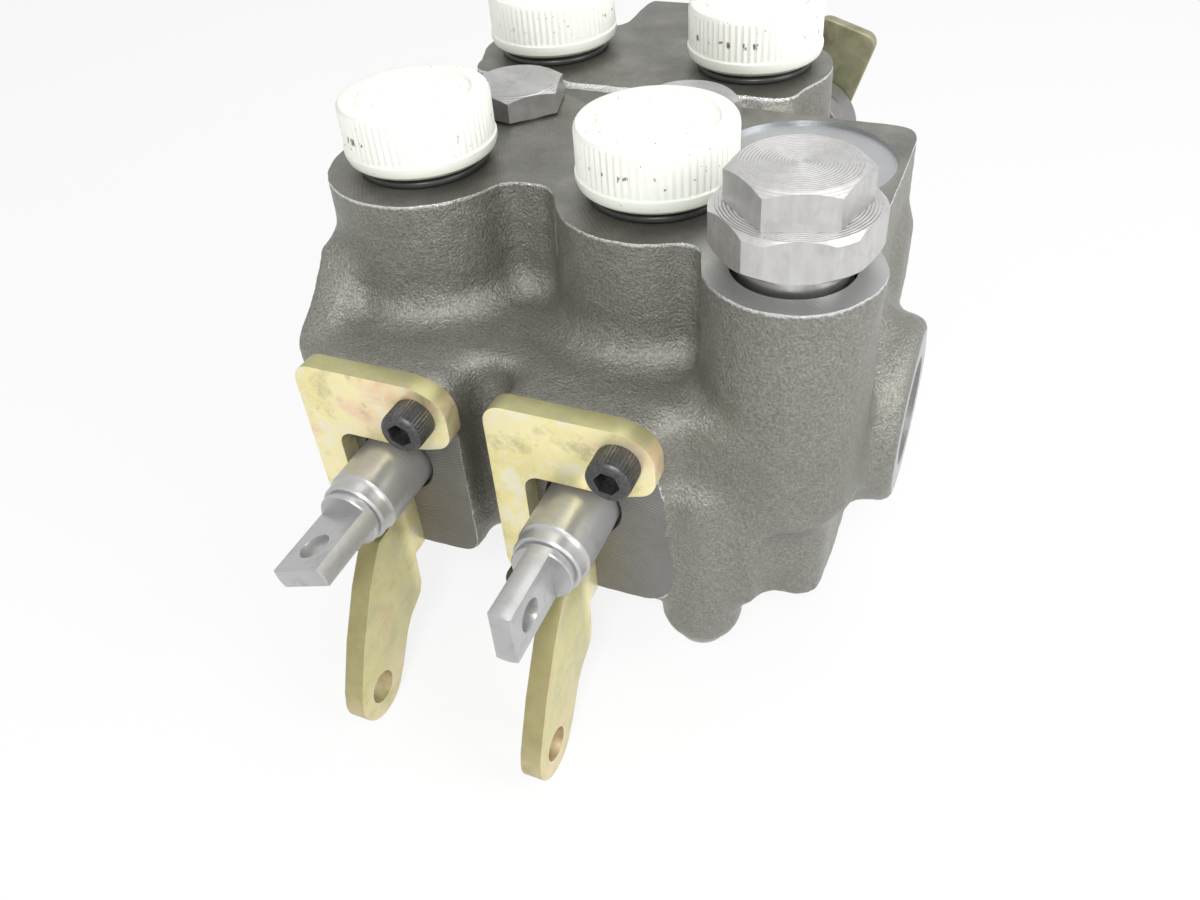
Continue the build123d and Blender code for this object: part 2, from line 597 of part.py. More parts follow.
def main():
    """Write every piece of the valve."""
    os.makedirs("parts", exist_ok=True)
    write("valve_body", valve_body())
    for name in SPOOL_X:
        write(f"{name}_spool", spool(name))
        write(f"{name}_handle_bracket", handle_bracket(name))
        write(f"{name}_front_spool_seal", spool_seal(name, -1))
        write(f"{name}_rear_spool_seal", spool_seal(name, 1))
        write(f"{name}_end_cap", end_cap(name))
        spring_pack(name)
    write("bracket_screws", bracket_screws())
    write("end_cap_screws", end_cap_screws())
    for end, y in PORT_Y.items():
        for side, x in PORT_X.items():
            write(f"{end}_{side}_port_plug", port_plug(x, y))
            write(f"{end}_{side}_port_plug_oring", port_plug_oring(x, y))
    for name, x in check_places().items():
        write(f"{name}_check_plug", check_plug(x))
        write(f"{name}_check_plug_oring", check_oring(x))
        write(f"{name}_check_poppet", check_poppet(x))
        spring = coil_spring(4.3, 0.6, CHECK_SEAT_Z + 4.6, TOP_Z - 3, 6)
        write(f"{name}_check_spring", Pos(x, CHECK_Y, 0) * spring)
    place = Pos(RELIEF_X, RELIEF_Y, 0)
    write("relief_cartridge", place * relief_body())
    write("relief_cap", place * relief_cap())
    write("relief_poppet", place * relief_poppet())
    write("relief_spring", place * coil_spring(4.4, 0.9, RELIEF_SEAT_Z + 14, RELIEF_CAP_Z - 16, 6))
    write("relief_oring", Pos(RELIEF_X, RELIEF_Y, TOP_Z - 6.8) * seal_ring(RELIEF_MOUTH_R, 9.65, 1.15))
    write("rear_strap", rear_strap())
    strap_screw = Rot(0, 0, 180) * cap_screw(PLATE_T + CAP_END_WALL - 0.7)
    write("rear_strap_screw", Pos(SPOOL_X["right"], REAR + CAP_LENGTH + PLATE_T, SPOOL_Z) * strap_screw)


if __name__ == "__main__":
    main()
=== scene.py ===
from math import atan2, cos, pi, radians, sin, sqrt

import bmesh
import bpy
from mathutils import Matrix, Vector, noise


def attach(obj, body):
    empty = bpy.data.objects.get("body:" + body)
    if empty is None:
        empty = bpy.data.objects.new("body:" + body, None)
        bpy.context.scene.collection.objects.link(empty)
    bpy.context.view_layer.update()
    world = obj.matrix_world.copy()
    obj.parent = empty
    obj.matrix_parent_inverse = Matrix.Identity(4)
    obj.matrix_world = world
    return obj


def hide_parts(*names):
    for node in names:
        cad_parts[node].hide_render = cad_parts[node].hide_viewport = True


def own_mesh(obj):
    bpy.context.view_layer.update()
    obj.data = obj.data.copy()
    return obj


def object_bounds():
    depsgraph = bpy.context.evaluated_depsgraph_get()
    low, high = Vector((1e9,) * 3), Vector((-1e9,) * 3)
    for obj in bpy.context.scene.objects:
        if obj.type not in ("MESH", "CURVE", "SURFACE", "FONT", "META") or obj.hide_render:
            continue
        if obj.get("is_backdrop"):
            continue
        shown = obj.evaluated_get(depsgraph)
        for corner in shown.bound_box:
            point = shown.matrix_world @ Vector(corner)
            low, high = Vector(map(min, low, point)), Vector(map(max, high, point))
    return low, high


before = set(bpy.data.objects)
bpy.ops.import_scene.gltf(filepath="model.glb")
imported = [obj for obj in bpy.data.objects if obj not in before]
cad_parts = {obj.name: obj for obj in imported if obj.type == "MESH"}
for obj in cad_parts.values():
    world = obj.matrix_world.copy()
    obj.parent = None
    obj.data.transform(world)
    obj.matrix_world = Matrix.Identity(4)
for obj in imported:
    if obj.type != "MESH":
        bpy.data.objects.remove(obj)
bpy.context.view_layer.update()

MM = 0.001
ACROSS_TO_CORNER = 1 / cos(radians(30))

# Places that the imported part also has, in millimetres
FRONT, REAR = -76.2, 76.2
TOP_Z, DECK_Z, BOTTOM_Z = 93.8, 67.0, 16.0
LEFT_WALL, RIGHT_WALL, REAR_RIGHT_WALL = -50.0, 70.0, 58.0
SPOOL_Z = 42.0
SPOOL_X = {"left": -24.0, "right": 21.2}
SPOOL_TURN = {"left": 22.0, "right": 90.0}
PORT_X = {"left": -30.1, "right": 24.6}
PORT_Y = {"front": -35.2, "rear": 35.2}
CHECK_X = {"left": -22.8, "right": 20.0}
CHECK_Y = -2.7
RELIEF = (57.6, -55.4)
RETURN_PORT = (49.0, -14.0)
SIDE_PORT = (80.5, -30.0, 46.0)
SCREW_X, SCREW_Z = 11.0, 18.6
PLATE_T = 4.76
FOOT_X, FOOT_Y = 44.45, 66.7
SPOOL_R = 7.94
CAP_R, CAP_LENGTH, CAP_FLANGE_T = 16.5, 48.0, 8.0
STRAP_FACE_Y, STRAP_LEAN = REAR + CAP_LENGTH + PLATE_T, 18.0

# Sizes that only the visible shapes have, in millimetres
RELIEF_HEX_Z, RELIEF_CAP_Z, RELIEF_TOP_Z = 98.0, 106.3, 113.4
RELIEF_TURN = 16.0
CHECK_TURN = {"left": 46.0, "right": 16.0}
FRONT_BOSS_R, REAR_BOSS_R, SIDE_BOSS_R = 21.5, 19.5, 21.0
SPOTFACE_R = 19.5
PORT_SECTION = [(0, 1), (12.6, 1), (12.6, 0), (10.6, -2.2), (10.2, -2.6), (10.2, -17),
                (6.5, -19), (6.5, -49), (0, -49)]

# Light, as shares of white, and the lamps: name, place in metres, width in metres, watts
PAPER_WHITE, SKY_LEVEL = 0.84, 0.45
LAMPS = (("key", (0.16, -0.50, 0.55), 0.16, 2.6),
         ("top", (0.10, 0.30, 0.75), 0.5, 1.2),
         ("right", (0.55, -0.10, 0.36), 0.3, 2.0))
LAMP_AIM = (0.01, -0.03, 0.05)

# The photograph's camera: angles in radians, place in metres, lens and sensor in millimetres
BEARING, HEIGHT, ROLL = 0.448, 0.716, -0.086
CAMERA_PLACE = (0.091533, -0.212167, 0.189555)
LENS, SENSOR = 30.27, 36


# Materials

class Value:
    """A node's output that takes arithmetic."""

    def __init__(self, finish, socket):
        self.finish, self.socket = finish, socket

    def math(self, operation, *operands, clamp=False):
        settings = {"operation": operation, "use_clamp": clamp}
        return self.finish.node("ShaderNodeMath", settings, dict(enumerate(operands)))

    def __add__(self, other):
        return self.math("ADD", self, other)

    def __sub__(self, other):
        return self.math("SUBTRACT", self, other)

    def __rsub__(self, other):
        return self.math("SUBTRACT", other, self)

    def __mul__(self, other):
        return self.math("MULTIPLY", self, other)

    def __truediv__(self, other):
        return self.math("DIVIDE", self, other)

    __radd__, __rmul__ = __add__, __mul__

    def over(self, edge, soft):
        """Goes from 0 to 1 as the value rises past an edge, over a soft width."""
        return self.math("ADD", (self - edge) / soft, 0.5, clamp=True)

    def between(self, low, high):
        """Goes from low to high as the value goes from 0 to 1."""
        return self * (high - low) + low

    def waves(self, pitch):
        """A sine wave of the value, a distance in metres, with one wave every pitch millimetres."""
        return self.math("SINE", self * (2 * pi / (pitch * MM)))


class Finish:
    """A material under construction, and the shader that its surface uses."""

    def __init__(self, name, **constants):
        self.material = bpy.data.materials.new(name)
        self.material.use_nodes = True
        self.tree = self.material.node_tree
        self.shader = self.tree.nodes["Principled BSDF"]
        self.place = Value(self, self.tree.nodes.new("ShaderNodeTexCoord").outputs["Object"])
        for name, value in constants.items():
            self.shader.inputs[name.replace("_", " ")].default_value = value

    def node(self, kind, settings, inputs, output=0):
        made = self.tree.nodes.new(kind)
        for key, value in settings.items():
            if key == "stops":
                ramp = made.color_ramp.elements
                while len(ramp) < len(value):
                    ramp.new(1)
                for element, (position, colour) in zip(ramp, value):
                    element.position, element.color = position, (*colour, 1)
            else:
                setattr(made, key, value)
        for name, value in inputs.items():
            self.plug(made.inputs[name], value)
        return Value(self, made.outputs[output])

    def plug(self, socket, value):
        if isinstance(value, Value):
            self.tree.links.new(value.socket, socket)
        elif isinstance(value, tuple) and len(value) == 3 and socket.type == "RGBA":
            socket.default_value = (*value, 1)
        else:
            socket.default_value = value

    def set(self, **inputs):
        for name, value in inputs.items():
            self.plug(self.shader.inputs[name.replace("_", " ")], value)

    def shifted(self, turn=(0, 0, 0), stretch=(1, 1, 1)):
        """The object's own coordinates, turned in degrees and stretched."""
        inputs = {"Vector": self.place, "Rotation": tuple(radians(t) for t in turn),
                  "Scale": stretch}
        return self.node("ShaderNodeMapping", {}, inputs)

    def noise(self, size, detail=3.0, rough=0.55, vector=None, distort=0.0):
        """Cloudy noise whose grains are about size millimetres across."""
        inputs = {"Vector": vector or self.place, "Scale": 1 / (size * MM), "Detail": detail,
                  "Roughness": rough, "Distortion": distort}
        return self.node("ShaderNodeTexNoise", {}, inputs)

    def ramp(self, value, *stops):
        return self.node("ShaderNodeValToRGB", {"stops": stops}, {"Fac": value})

    def mix(self, first, second, factor):
        """A colour between two, by a factor from 0 to 1."""
        inputs = {0: factor, 6: first, 7: second}
        return self.node("ShaderNodeMix", {"data_type": "RGBA"}, inputs, 2)

    def bump(self, height, depth, strength=1.0, under=None):
        """A normal that is pushed in and out by height times depth millimetres."""
        inputs = {"Height": height, "Distance": depth * MM, "Strength": strength}
        if under:
            inputs["Normal"] = under
        return self.node("ShaderNodeBump", {}, inputs)

    def part(self, axis, vector=None):
        """One part of a vector, or of the object's own coordinates."""
        return self.node("ShaderNodeSeparateXYZ", {}, {0: vector or self.place}, axis)

    def facing(self, axis):
        """How far the surface faces along an axis, from -1 to 1."""
        return self.part(axis, self.node("ShaderNodeNewGeometry", {}, {}, "Normal"))

    def radius(self, x, y, z, axis):
        """Distance in metres from a line along an axis through a point in millimetres."""
        flat = {"X": (0, 1, 1), "Y": (1, 0, 1), "Z": (1, 1, 0)}[axis]
        moved = self.node("ShaderNodeVectorMath", {"operation": "SUBTRACT"},
                          {0: self.place, 1: (x * MM, y * MM, z * MM)})
        across = self.node("ShaderNodeVectorMath", {"operation": "MULTIPLY"}, {0: moved, 1: flat})
        return self.node("ShaderNodeVectorMath", {"operation": "LENGTH"}, {0: across}, "Value")


def grey(level, warm=0.0):
    """A grey of a level, redder and less blue by the share warm."""
    return (level * (1 + warm), level, level * (1 - warm))


def sand_cast_iron():
    """The rough casting: warm grey sand, a painted highlight along the edges of the machined faces,
    a line of mould flash.
    """
    f = Finish("sand_cast_iron", Metallic=0.6, Specular_IOR_Level=0.5)
    grain = f.noise(0.55, 3.0, 0.65)
    lumps = f.noise(2.2, 3.0)
    clouds = f.noise(24, 3.0)
    body = f.ramp(grain, (0.3, (0.165, 0.162, 0.14)), (0.5, (0.235, 0.231, 0.205)),
                  (0.72, (0.335, 0.33, 0.3)))
    body = f.mix(body, (0.165, 0.163, 0.132), clouds.over(0.6, 0.3) * 0.4)
    wobble = f.noise(1.1, 2.0) * (0.9 * MM)
    # Painted highlight: a thin light band along the edge where the milled top meets the casting,
    # and along the front edges of the pads
    top_edge_highlight = (f.part("Z") + wobble).over((TOP_Z - 0.12) * MM, 0.5 * MM)
    flash_x = f.part("X") - f.part("Z") * 0.05 + f.noise(3.0, 2.0) * (0.8 * MM) + 0.2 * MM
    flash = 1 - flash_x.math("ABSOLUTE", flash_x).over(0.3 * MM, 0.25 * MM)
    flash = flash * f.part("Z").over(79 * MM, 2 * MM) * (1 - f.part("Z").over(91.5 * MM, 1.5 * MM))
    flash = flash * (1 - f.part("Y").over(-37 * MM, MM))
    pad_edge_highlight = (wobble - f.part("Y")).over((0.3 - FRONT) * MM, 0.4 * MM)
    pad_edge_highlight = pad_edge_highlight * (1 - f.part("X").over(39.4 * MM, 0.6 * MM))
    pad_edge_highlight = pad_edge_highlight * f.part("X").over(-42 * MM, 0.6 * MM)
    # rim holds both painted highlights; they lighten the colour and lower the roughness
    rim = top_edge_highlight.math("MAXIMUM", top_edge_highlight, pad_edge_highlight)
    body = f.mix(body, grey(0.72), rim * 0.85)
    body = f.mix(body, (0.62, 0.6, 0.36), flash * 0.9)
    f.set(Base_Color=body, Roughness=grain.between(0.26, 0.5) - rim * 0.12)
    f.set(Normal=f.bump(grain, 0.36, 0.8, f.bump(lumps, 0.5, 0.5)))
    return f.material


def milled_top_iron():
    """The milled top: mid grey, fine circular marks of the cutter and darker oily patches."""
    f = Finish("milled_top_iron", Metallic=0.75)
    arc = f.radius(150, 60, 0, "Z")
    marks = arc.waves(0.9)
    fine = f.noise(0.45, 3.0, vector=f.shifted(turn=(0, 0, 24), stretch=(1, 5, 1)))
    patches = f.noise(13, 4.0, 0.6)
    near_relief = 1 - f.radius(*RELIEF, 0, "Z").over(19 * MM, 5 * MM)
    body = f.ramp(patches, (0.3, (0.135, 0.133, 0.115)), (0.55, (0.20, 0.197, 0.175)),
                  (0.8, (0.29, 0.285, 0.265)))
    body = f.mix(body, grey(0.46), near_relief * 0.8)
    body = f.mix(body, grey(0.42), fine.over(0.62, 0.2) * 0.45)
    f.set(Base_Color=body, Roughness=fine.between(0.34, 0.56))
    f.set(Normal=f.bump(marks * 0.3 + fine * 0.7, 0.035, 0.7))
    return f.material


def spotfaced_iron():
    """The bright ring round the return port, with concentric marks."""
    f = Finish("spotfaced_iron", Metallic=0.9)
    rings = f.radius(*RETURN_PORT, 0, "Z")
    marks = rings.waves(0.55)
    fine = f.noise(0.5, 3.0)
    body = f.mix(grey(0.36, -0.03), grey(0.52, -0.02), f.noise(9, 3.0))
    f.set(Base_Color=body, Roughness=fine.between(0.25, 0.42))
    f.set(Normal=f.bump(marks * 0.5 + fine * 0.5, 0.03, 0.7))
    return f.material


def milled_pad_iron():
    """The pads at the ends of the spools, with close wavy cutter lines."""
    f = Finish("milled_pad_iron", Metallic=0.8)
    arc = f.radius(0, 0, -120, "Y")
    waves = arc + f.noise(12, 2.0) * (0.9 * MM)
    marks = waves.waves(0.8)
    fine = f.noise(0.4, 3.0)
    body = f.mix(grey(0.14, 0.05), grey(0.25, 0.03), f.noise(8, 4.0))
    body = f.mix(body, grey(0.40), marks.over(0.75, 0.4) * 0.35)
    f.set(Base_Color=body, Roughness=fine.between(0.34, 0.55))
    f.set(Normal=f.bump(marks * 0.6 + fine * 0.4, 0.045, 0.9))
    return f.material


def bored_iron():
    f = Finish("bored_iron", Metallic=0.8)
    fine = f.noise(0.6, 3.0)
    f.set(Base_Color=f.mix(grey(0.14, 0.03), grey(0.30), fine), Roughness=fine.between(0.25, 0.45))
    f.set(Normal=f.bump(fine, 0.02, 0.6))
    return f.material


def ground_steel(axis_stretch):
    """Ground and polished spool steel: faint rings, a few handling marks."""
    f = Finish("ground_steel", Metallic=0.62)
    rings = f.noise(2.2, 4.0, 0.6, vector=f.shifted(stretch=axis_stretch))
    smears = f.noise(6, 4.0, 0.6, distort=0.6)
    body = f.mix(grey(0.36), grey(0.56), rings)
    body = f.mix(body, grey(0.28), smears.over(0.6, 0.14) * 0.4)
    f.set(Base_Color=body, Roughness=smears.between(0.26, 0.44))
    f.set(Normal=f.bump(rings, 0.012, 0.5))
    return f.material


def turned_steel(name, centre, level=0.46, depth=0.06):
    """Hexagon bar steel: brushed flats, and rings left by the tool on its turned end."""
    f = Finish(name, Metallic=0.95)
    ring = f.radius(*centre, 0, "Z") + f.noise(5, 2.0) * (0.25 * MM)
    marks = ring.waves(0.62)
    streaks = f.noise(1.6, 4.0, 0.6, vector=f.shifted(stretch=(1, 1, 0.3)))
    blotches = f.noise(5, 4.0, 0.6)
    body = f.ramp(streaks, (0.3, grey(level * 0.9, 0.02)), (0.55, grey(level, 0.01)),
                  (0.8, grey(level * 1.1)))
    stain = (level * 0.55, level * 0.5, level * 0.44)
    body = f.mix(body, stain, blotches.over(0.62, 0.2) * 0.35)
    top = f.facing("Z").over(0.93, 0.1)
    rough_rings = f.noise(0.5, 4.0, 0.7) * top
    height = marks * top * 0.8 + rough_rings * 0.7 + streaks * 0.15
    f.set(Base_Color=body, Roughness=blotches.between(0.3, 0.48))
    f.set(Normal=f.bump(height, depth, 0.8))
    return f.material


def yellow_zinc():
    """Pressed plate with yellow zinc: pale gold, pink films, rubbed places and a darker olive ear,
    with painted shade on faces that face up and on the ear's forward faces.
    """
    f = Finish("yellow_zinc", Metallic=0.6)
    film = f.noise(19, 3.0, 0.5, distort=0.6)
    cloud = f.noise(6, 4.0, 0.6)
    scratch = f.noise(0.8, 5.0, 0.7, vector=f.shifted(turn=(20, 30, 10), stretch=(1, 0.12, 1)))
    body = f.ramp(film, (0.28, (0.72, 0.68, 0.32)), (0.42, (0.86, 0.77, 0.38)),
                  (0.55, (0.92, 0.84, 0.48)), (0.66, (0.88, 0.66, 0.42)),
                  (0.78, (0.66, 0.63, 0.32)))
    body = f.mix(body, (0.86, 0.85, 0.74), cloud.over(0.58, 0.12) * 0.6)
    body = f.mix(body, (0.36, 0.33, 0.16), (1 - cloud).over(0.62, 0.16) * 0.5)
    body = f.mix(body, (0.92, 0.91, 0.86), scratch.over(0.62, 0.08) * 0.7)
    # Painted shade: faces that face up are painted darker olive
    edge = f.facing("Z").over(0.5, 0.4)
    ear = 1 - f.part("Y").over((FRONT - 7) * MM, 3 * MM)
    low = 1 - f.part("Z").over(-3 * MM, 9 * MM)
    # Painted shade: the ear's faces that face forward are painted brown
    forward_faces_shade = (f.facing("Y") * -1).over(0.6, 0.3) * ear
    body = f.mix(body, (0.33, 0.33, 0.15), edge * (cloud * 0.6 + 0.45))
    body = f.mix(body, (0.47, 0.45, 0.23), ear * (cloud * 0.9 + 0.2))
    body = f.mix(body, (0.30, 0.26, 0.11), forward_faces_shade * (cloud * 0.6 + 0.4))
    body = f.mix(body, (0.90, 0.70, 0.50), ear * low * cloud.over(0.5, 0.3) * 0.7)
    f.set(Base_Color=body, Roughness=cloud.between(0.3, 0.5))
    f.set(Normal=f.bump(cloud * 0.6 + scratch * 0.4, 0.05, 0.5))
    return f.material


def dark_zinc():
    """The rear strap: the same zinc on thicker stock, dull green and brown."""
    f = Finish("dark_zinc", Metallic=0.7)
    cloud = f.noise(9, 4.0, 0.6, distort=0.5)
    body = f.ramp(cloud, (0.3, (0.20, 0.20, 0.11)), (0.5, (0.33, 0.325, 0.205)),
                  (0.75, (0.47, 0.44, 0.28)))
    f.set(Base_Color=body, Roughness=cloud.between(0.3, 0.5))
    f.set(Normal=f.bump(f.noise(1.0, 4.0), 0.03, 0.5))
    return f.material


def black_oxide():
    f = Finish("black_oxide", Metallic=0.75)
    fine = f.noise(0.7, 4.0, 0.6)
    body = f.mix(grey(0.05, -0.02), grey(0.13), fine.over(0.5, 0.5))
    f.set(Base_Color=body, Roughness=fine.between(0.34, 0.52))
    f.set(Normal=f.bump(fine, 0.02, 0.5))
    return f.material


def white_plastic():
    """Milky moulded plastic with dirt from handling: dashes below the rim, specks and smears;
    painted shade darkens it towards its foot.
    """
    f = Finish("white_plastic", Subsurface_Weight=0.1, Specular_IOR_Level=0.4)
    cloud = f.noise(8, 3.0)
    height = f.part("Z")
    line = height.over((TOP_Z + 9.2) * MM, 0.5 * MM)
    line = line - height.over((TOP_Z + 10.6) * MM, 0.5 * MM)
    dashes = f.noise(1.7, 3.0, 0.6, vector=f.shifted(stretch=(1, 1, 0.5))).over(0.63, 0.05)
    specks = f.noise(0.9, 2.0).over(0.735, 0.03)
    dirt = f.noise(1.6, 5.0, 0.7, vector=f.shifted(stretch=(1, 1, 0.4))).over(0.71, 0.04)
    body = f.mix((0.88, 0.885, 0.80), (0.95, 0.95, 0.90), cloud)
    # Painted shade: darker and greener towards the bottom of the plug
    body = f.mix(body, (0.74, 0.755, 0.62), 1 - height.over((TOP_Z + 4) * MM, 7 * MM))
    body = f.mix(body, (0.12, 0.08, 0.05), line * dashes * 0.9)
    body = f.mix(body, (0.14, 0.09, 0.05), specks * 0.8)
    body = f.mix(body, (0.40, 0.31, 0.16), dirt * 0.55)
    f.set(Base_Color=body, Roughness=cloud.between(0.34, 0.5))
    f.set(Normal=f.bump(f.noise(2.2, 4.0), 0.03, 0.5))
    return f.material


def seal_rubber():
    f = Finish("seal_rubber", Specular_IOR_Level=0.5)
    fine = f.noise(1.1, 3.0)
    f.set(Base_Color=f.mix(grey(0.02), grey(0.05), fine), Roughness=fine.between(0.26, 0.42))
    f.set(Normal=f.bump(fine, 0.015, 0.5))
    return f.material


def cast_cap_metal():
    f = Finish("cast_cap_metal", Metallic=0.5)
    fine, cloud = f.noise(0.8, 4.0), f.noise(11, 3.0)
    body = f.mix(grey(0.15, 0.03), grey(0.30, 0.02), fine * 0.6 + cloud * 0.4)
    f.set(Base_Color=body, Roughness=fine.between(0.4, 0.6))
    f.set(Normal=f.bump(fine, 0.08, 0.8))
    return f.material


def spring_wire():
    f = Finish("spring_wire", Metallic=0.9)
    fine = f.noise(1.5, 4.0)
    f.set(Base_Color=f.mix(grey(0.12), grey(0.32), fine), Roughness=fine.between(0.25, 0.4))
    f.set(Normal=f.bump(fine, 0.02, 0.4))
    return f.material


# Shapes, all in millimetres until piece() makes a mesh of them

def piece(name, bm, finish=None, body=None, nodes=(), sharp=32):
    """Makes a piece from a bmesh in millimetres, riding on a body and standing for nodes."""
    bmesh.ops.scale(bm, vec=(MM, MM, MM), verts=bm.verts)
    mesh = bpy.data.meshes.new(name)
    bm.to_mesh(mesh)
    bm.free()
    made = bpy.data.objects.new(name, mesh)
    bpy.context.scene.collection.objects.link(made)
    if finish:
        mesh.materials.append(finish)
    shade(mesh, sharp)
    if body:
        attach(made, body)
        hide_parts(*nodes)
    return made


def shade(mesh, sharp):
    """Smooth shading that keeps the edges sharper than an angle in degrees."""
    mesh.polygons.foreach_set("use_smooth", [True] * len(mesh.polygons))
    mesh.set_sharp_from_angle(angle=radians(sharp))


def turned(points, steps=96):
    """A solid of revolution about Z from (radius, z) points; it closes itself off the axis."""
    bm = bmesh.new()
    section = [bm.verts.new((r, 0, z)) for r, z in points]
    edges = [bm.edges.new(pair) for pair in zip(section, section[1:])]
    if points[0][0] > 0:
        edges.append(bm.edges.new((section[-1], section[0])))
    bmesh.ops.spin(bm, geom=section + edges, cent=(0, 0, 0), axis=(0, 0, 1), angle=2 * pi,
                   steps=steps, use_merge=True)
    bmesh.ops.remove_doubles(bm, verts=bm.verts, dist=0.001)
    bmesh.ops.recalc_face_normals(bm, faces=bm.faces)
    return bm


def soften(bm, width, angle=30, segments=2, where=None):
    """Bevels the edges that are sharper than an angle."""
    edges = [e for e in bm.edges if e.is_manifold and e.calc_face_angle(0) > radians(angle)
             and (where is None or where(e))]
    bmesh.ops.bevel(bm, geom=edges, offset=width, offset_type="OFFSET", segments=segments,
                    profile=0.5, affect="EDGES", material=-1, clamp_overlap=True)


def hexagon(across):
    """The corners of a hexagon of a width across its flats."""
    r = across / 2 * ACROSS_TO_CORNER
    return [(r * cos(pi / 3 * k), r * sin(pi / 3 * k)) for k in range(6)]


def prism(outline, low, high, corner=0.0):
    """An upright prism from an outline in plan, with its corners rounded."""
    bm = bmesh.new()
    face = bm.faces.new([bm.verts.new((x, y, low)) for x, y in outline])
    if corner:
        bmesh.ops.bevel(bm, geom=list(bm.verts), offset=corner, offset_type="OFFSET", segments=6,
                        profile=0.5, affect="VERTICES", material=-1, clamp_overlap=True)
        face = bm.faces[:][0]
    raised = bmesh.ops.extrude_face_region(bm, geom=[face])["geom"]
    top = [v for v in raised if isinstance(v, bmesh.types.BMVert)]
    bmesh.ops.translate(bm, vec=(0, 0, high - low), verts=top)
    bmesh.ops.recalc_face_normals(bm, faces=bm.faces)
    return bm


def flattened(bm, degrees):
    """Melts the faces that lie within an angle of each other into one."""
    bmesh.ops.dissolve_limit(bm, angle_limit=radians(degrees), verts=bm.verts, edges=bm.edges)
    return bm


def cylinder(radius, low, high, steps=64, top_radius=None):
    """An upright cylinder, or a cone if its top has another radius."""
    bm = bmesh.new()
    bmesh.ops.create_cone(bm, cap_ends=True, segments=steps, radius1=radius,
                          radius2=radius if top_radius is None else top_radius, depth=high - low)
    return moved(bm, Matrix.Translation((0, 0, (low + high) / 2)))


def block(low, high, corner=0.0, edges=""):
    """A box between two corners, with the edges along the given axes rounded."""
    bm = bmesh.new()
    bmesh.ops.create_cube(bm, size=1)
    size = [b - a for a, b in zip(low, high)]
    middle = [(a + b) / 2 for a, b in zip(low, high)]
    bmesh.ops.scale(bm, vec=size, verts=bm.verts)
    picked = [e for e in bm.edges if "XYZ"[along(e)] in edges]
    if corner and picked:
        bmesh.ops.bevel(bm, geom=picked, offset=corner, offset_type="OFFSET", segments=5,
                        profile=0.5, affect="EDGES", material=-1, clamp_overlap=True)
    return moved(bm, Matrix.Translation(middle))


def along(edge):
    """The number of the axis that an edge runs along."""
    run = edge.verts[1].co - edge.verts[0].co
    return max(range(3), key=lambda i: abs(run[i]))


def moved(bm, matrix):
    bmesh.ops.transform(bm, matrix=matrix, verts=bm.verts)
    return bm


def at(x=0.0, y=0.0, z=0.0):
    return Matrix.Translation((x, y, z))


def turn(degrees, axis):
    return Matrix.Rotation(radians(degrees), 4, axis)


TO_FRONT = turn(90, "X")
TO_REAR = turn(-90, "X")
TO_RIGHT = turn(90, "Y")
TO_SIDE = turn(90, "Z") @ turn(90, "X")


def joined(*parts):
    """Several closed shapes as one bmesh; they may overlap."""
    whole = bmesh.new()
    for part in parts:
        mesh = bpy.data.meshes.new("part")
        part.to_mesh(mesh)
        part.free()
        whole.from_mesh(mesh)
        bpy.data.meshes.remove(mesh)
    return whole


def settle(made):
    """Applies a piece's modifiers to its mesh."""
    graph = bpy.context.evaluated_depsgraph_get()
    mesh = bpy.data.meshes.new_from_object(made.evaluated_get(graph))
    made.modifiers.clear()
    made.data = mesh
    return made


def modified(made, kind, **settings):
    step = made.modifiers.new(kind.lower(), kind)
    for key, value in settings.items():
        setattr(step, key, value)
    return settle(made)


def cut(made, tool, finish=None, operation="DIFFERENCE"):
    """Cuts a bmesh out of a piece, or adds it; the new faces take the finish."""
    cutter = piece("cutter", tool, finish)
    modified(made, "BOOLEAN", object=cutter, operation=operation, solver="MANIFOLD",
             material_mode="TRANSFER")
    bpy.data.objects.remove(cutter)
    return made


def combined(first, second, operation="DIFFERENCE"):
    """One closed bmesh from two."""
    base = piece("base", first)
    cut(base, second, operation=operation)
    bm = bmesh.new()
    bm.from_mesh(base.data)
    bmesh.ops.scale(bm, vec=(1 / MM,) * 3, verts=bm.verts)
    bpy.data.objects.remove(base)
    return bm


# Housing

ROUGH_VOXEL, CAST_VOXEL = 1.5 * MM, 1.15 * MM
ROOT_FILLET = 2.4 * MM
OVER_TOP_Z = TOP_Z + 3
WALL_Y, PAD_STAND, PAD_HALF = 65.2, 1.2, 17.2
FEET = [(sx * FOOT_X, sy * FOOT_Y) for sx in (-1, 1) for sy in (-1, 1)]
FINE_SAND_SHIFT = Vector((9, 3, 5))
PORTS = [(x, y) for x in PORT_X.values() for y in PORT_Y.values()]


def port_boss(x, y, radius):
    """A round boss on a flared root, which ends at the walls of the casting."""
    boss = moved(cylinder(radius, DECK_Z - 12, OVER_TOP_Z), at(x, y))
    skirt = turned([(0, DECK_Z - 12), (radius + 6, DECK_Z - 12), (radius + 6, DECK_Z - 0.5),
                    (radius + 3.2, DECK_Z + 0.6), (radius + 1.3, DECK_Z + 2.2),
                    (radius + 0.3, DECK_Z + 4.6), (radius - 1, DECK_Z + 8), (0, DECK_Z + 8)], 64)
    limits = block((LEFT_WALL + 0.5, FRONT + 6, DECK_Z - 20), (RIGHT_WALL, REAR - 6, DECK_Z + 20))
    return joined(boss, combined(moved(skirt, at(x, y)), limits, "INTERSECT"))


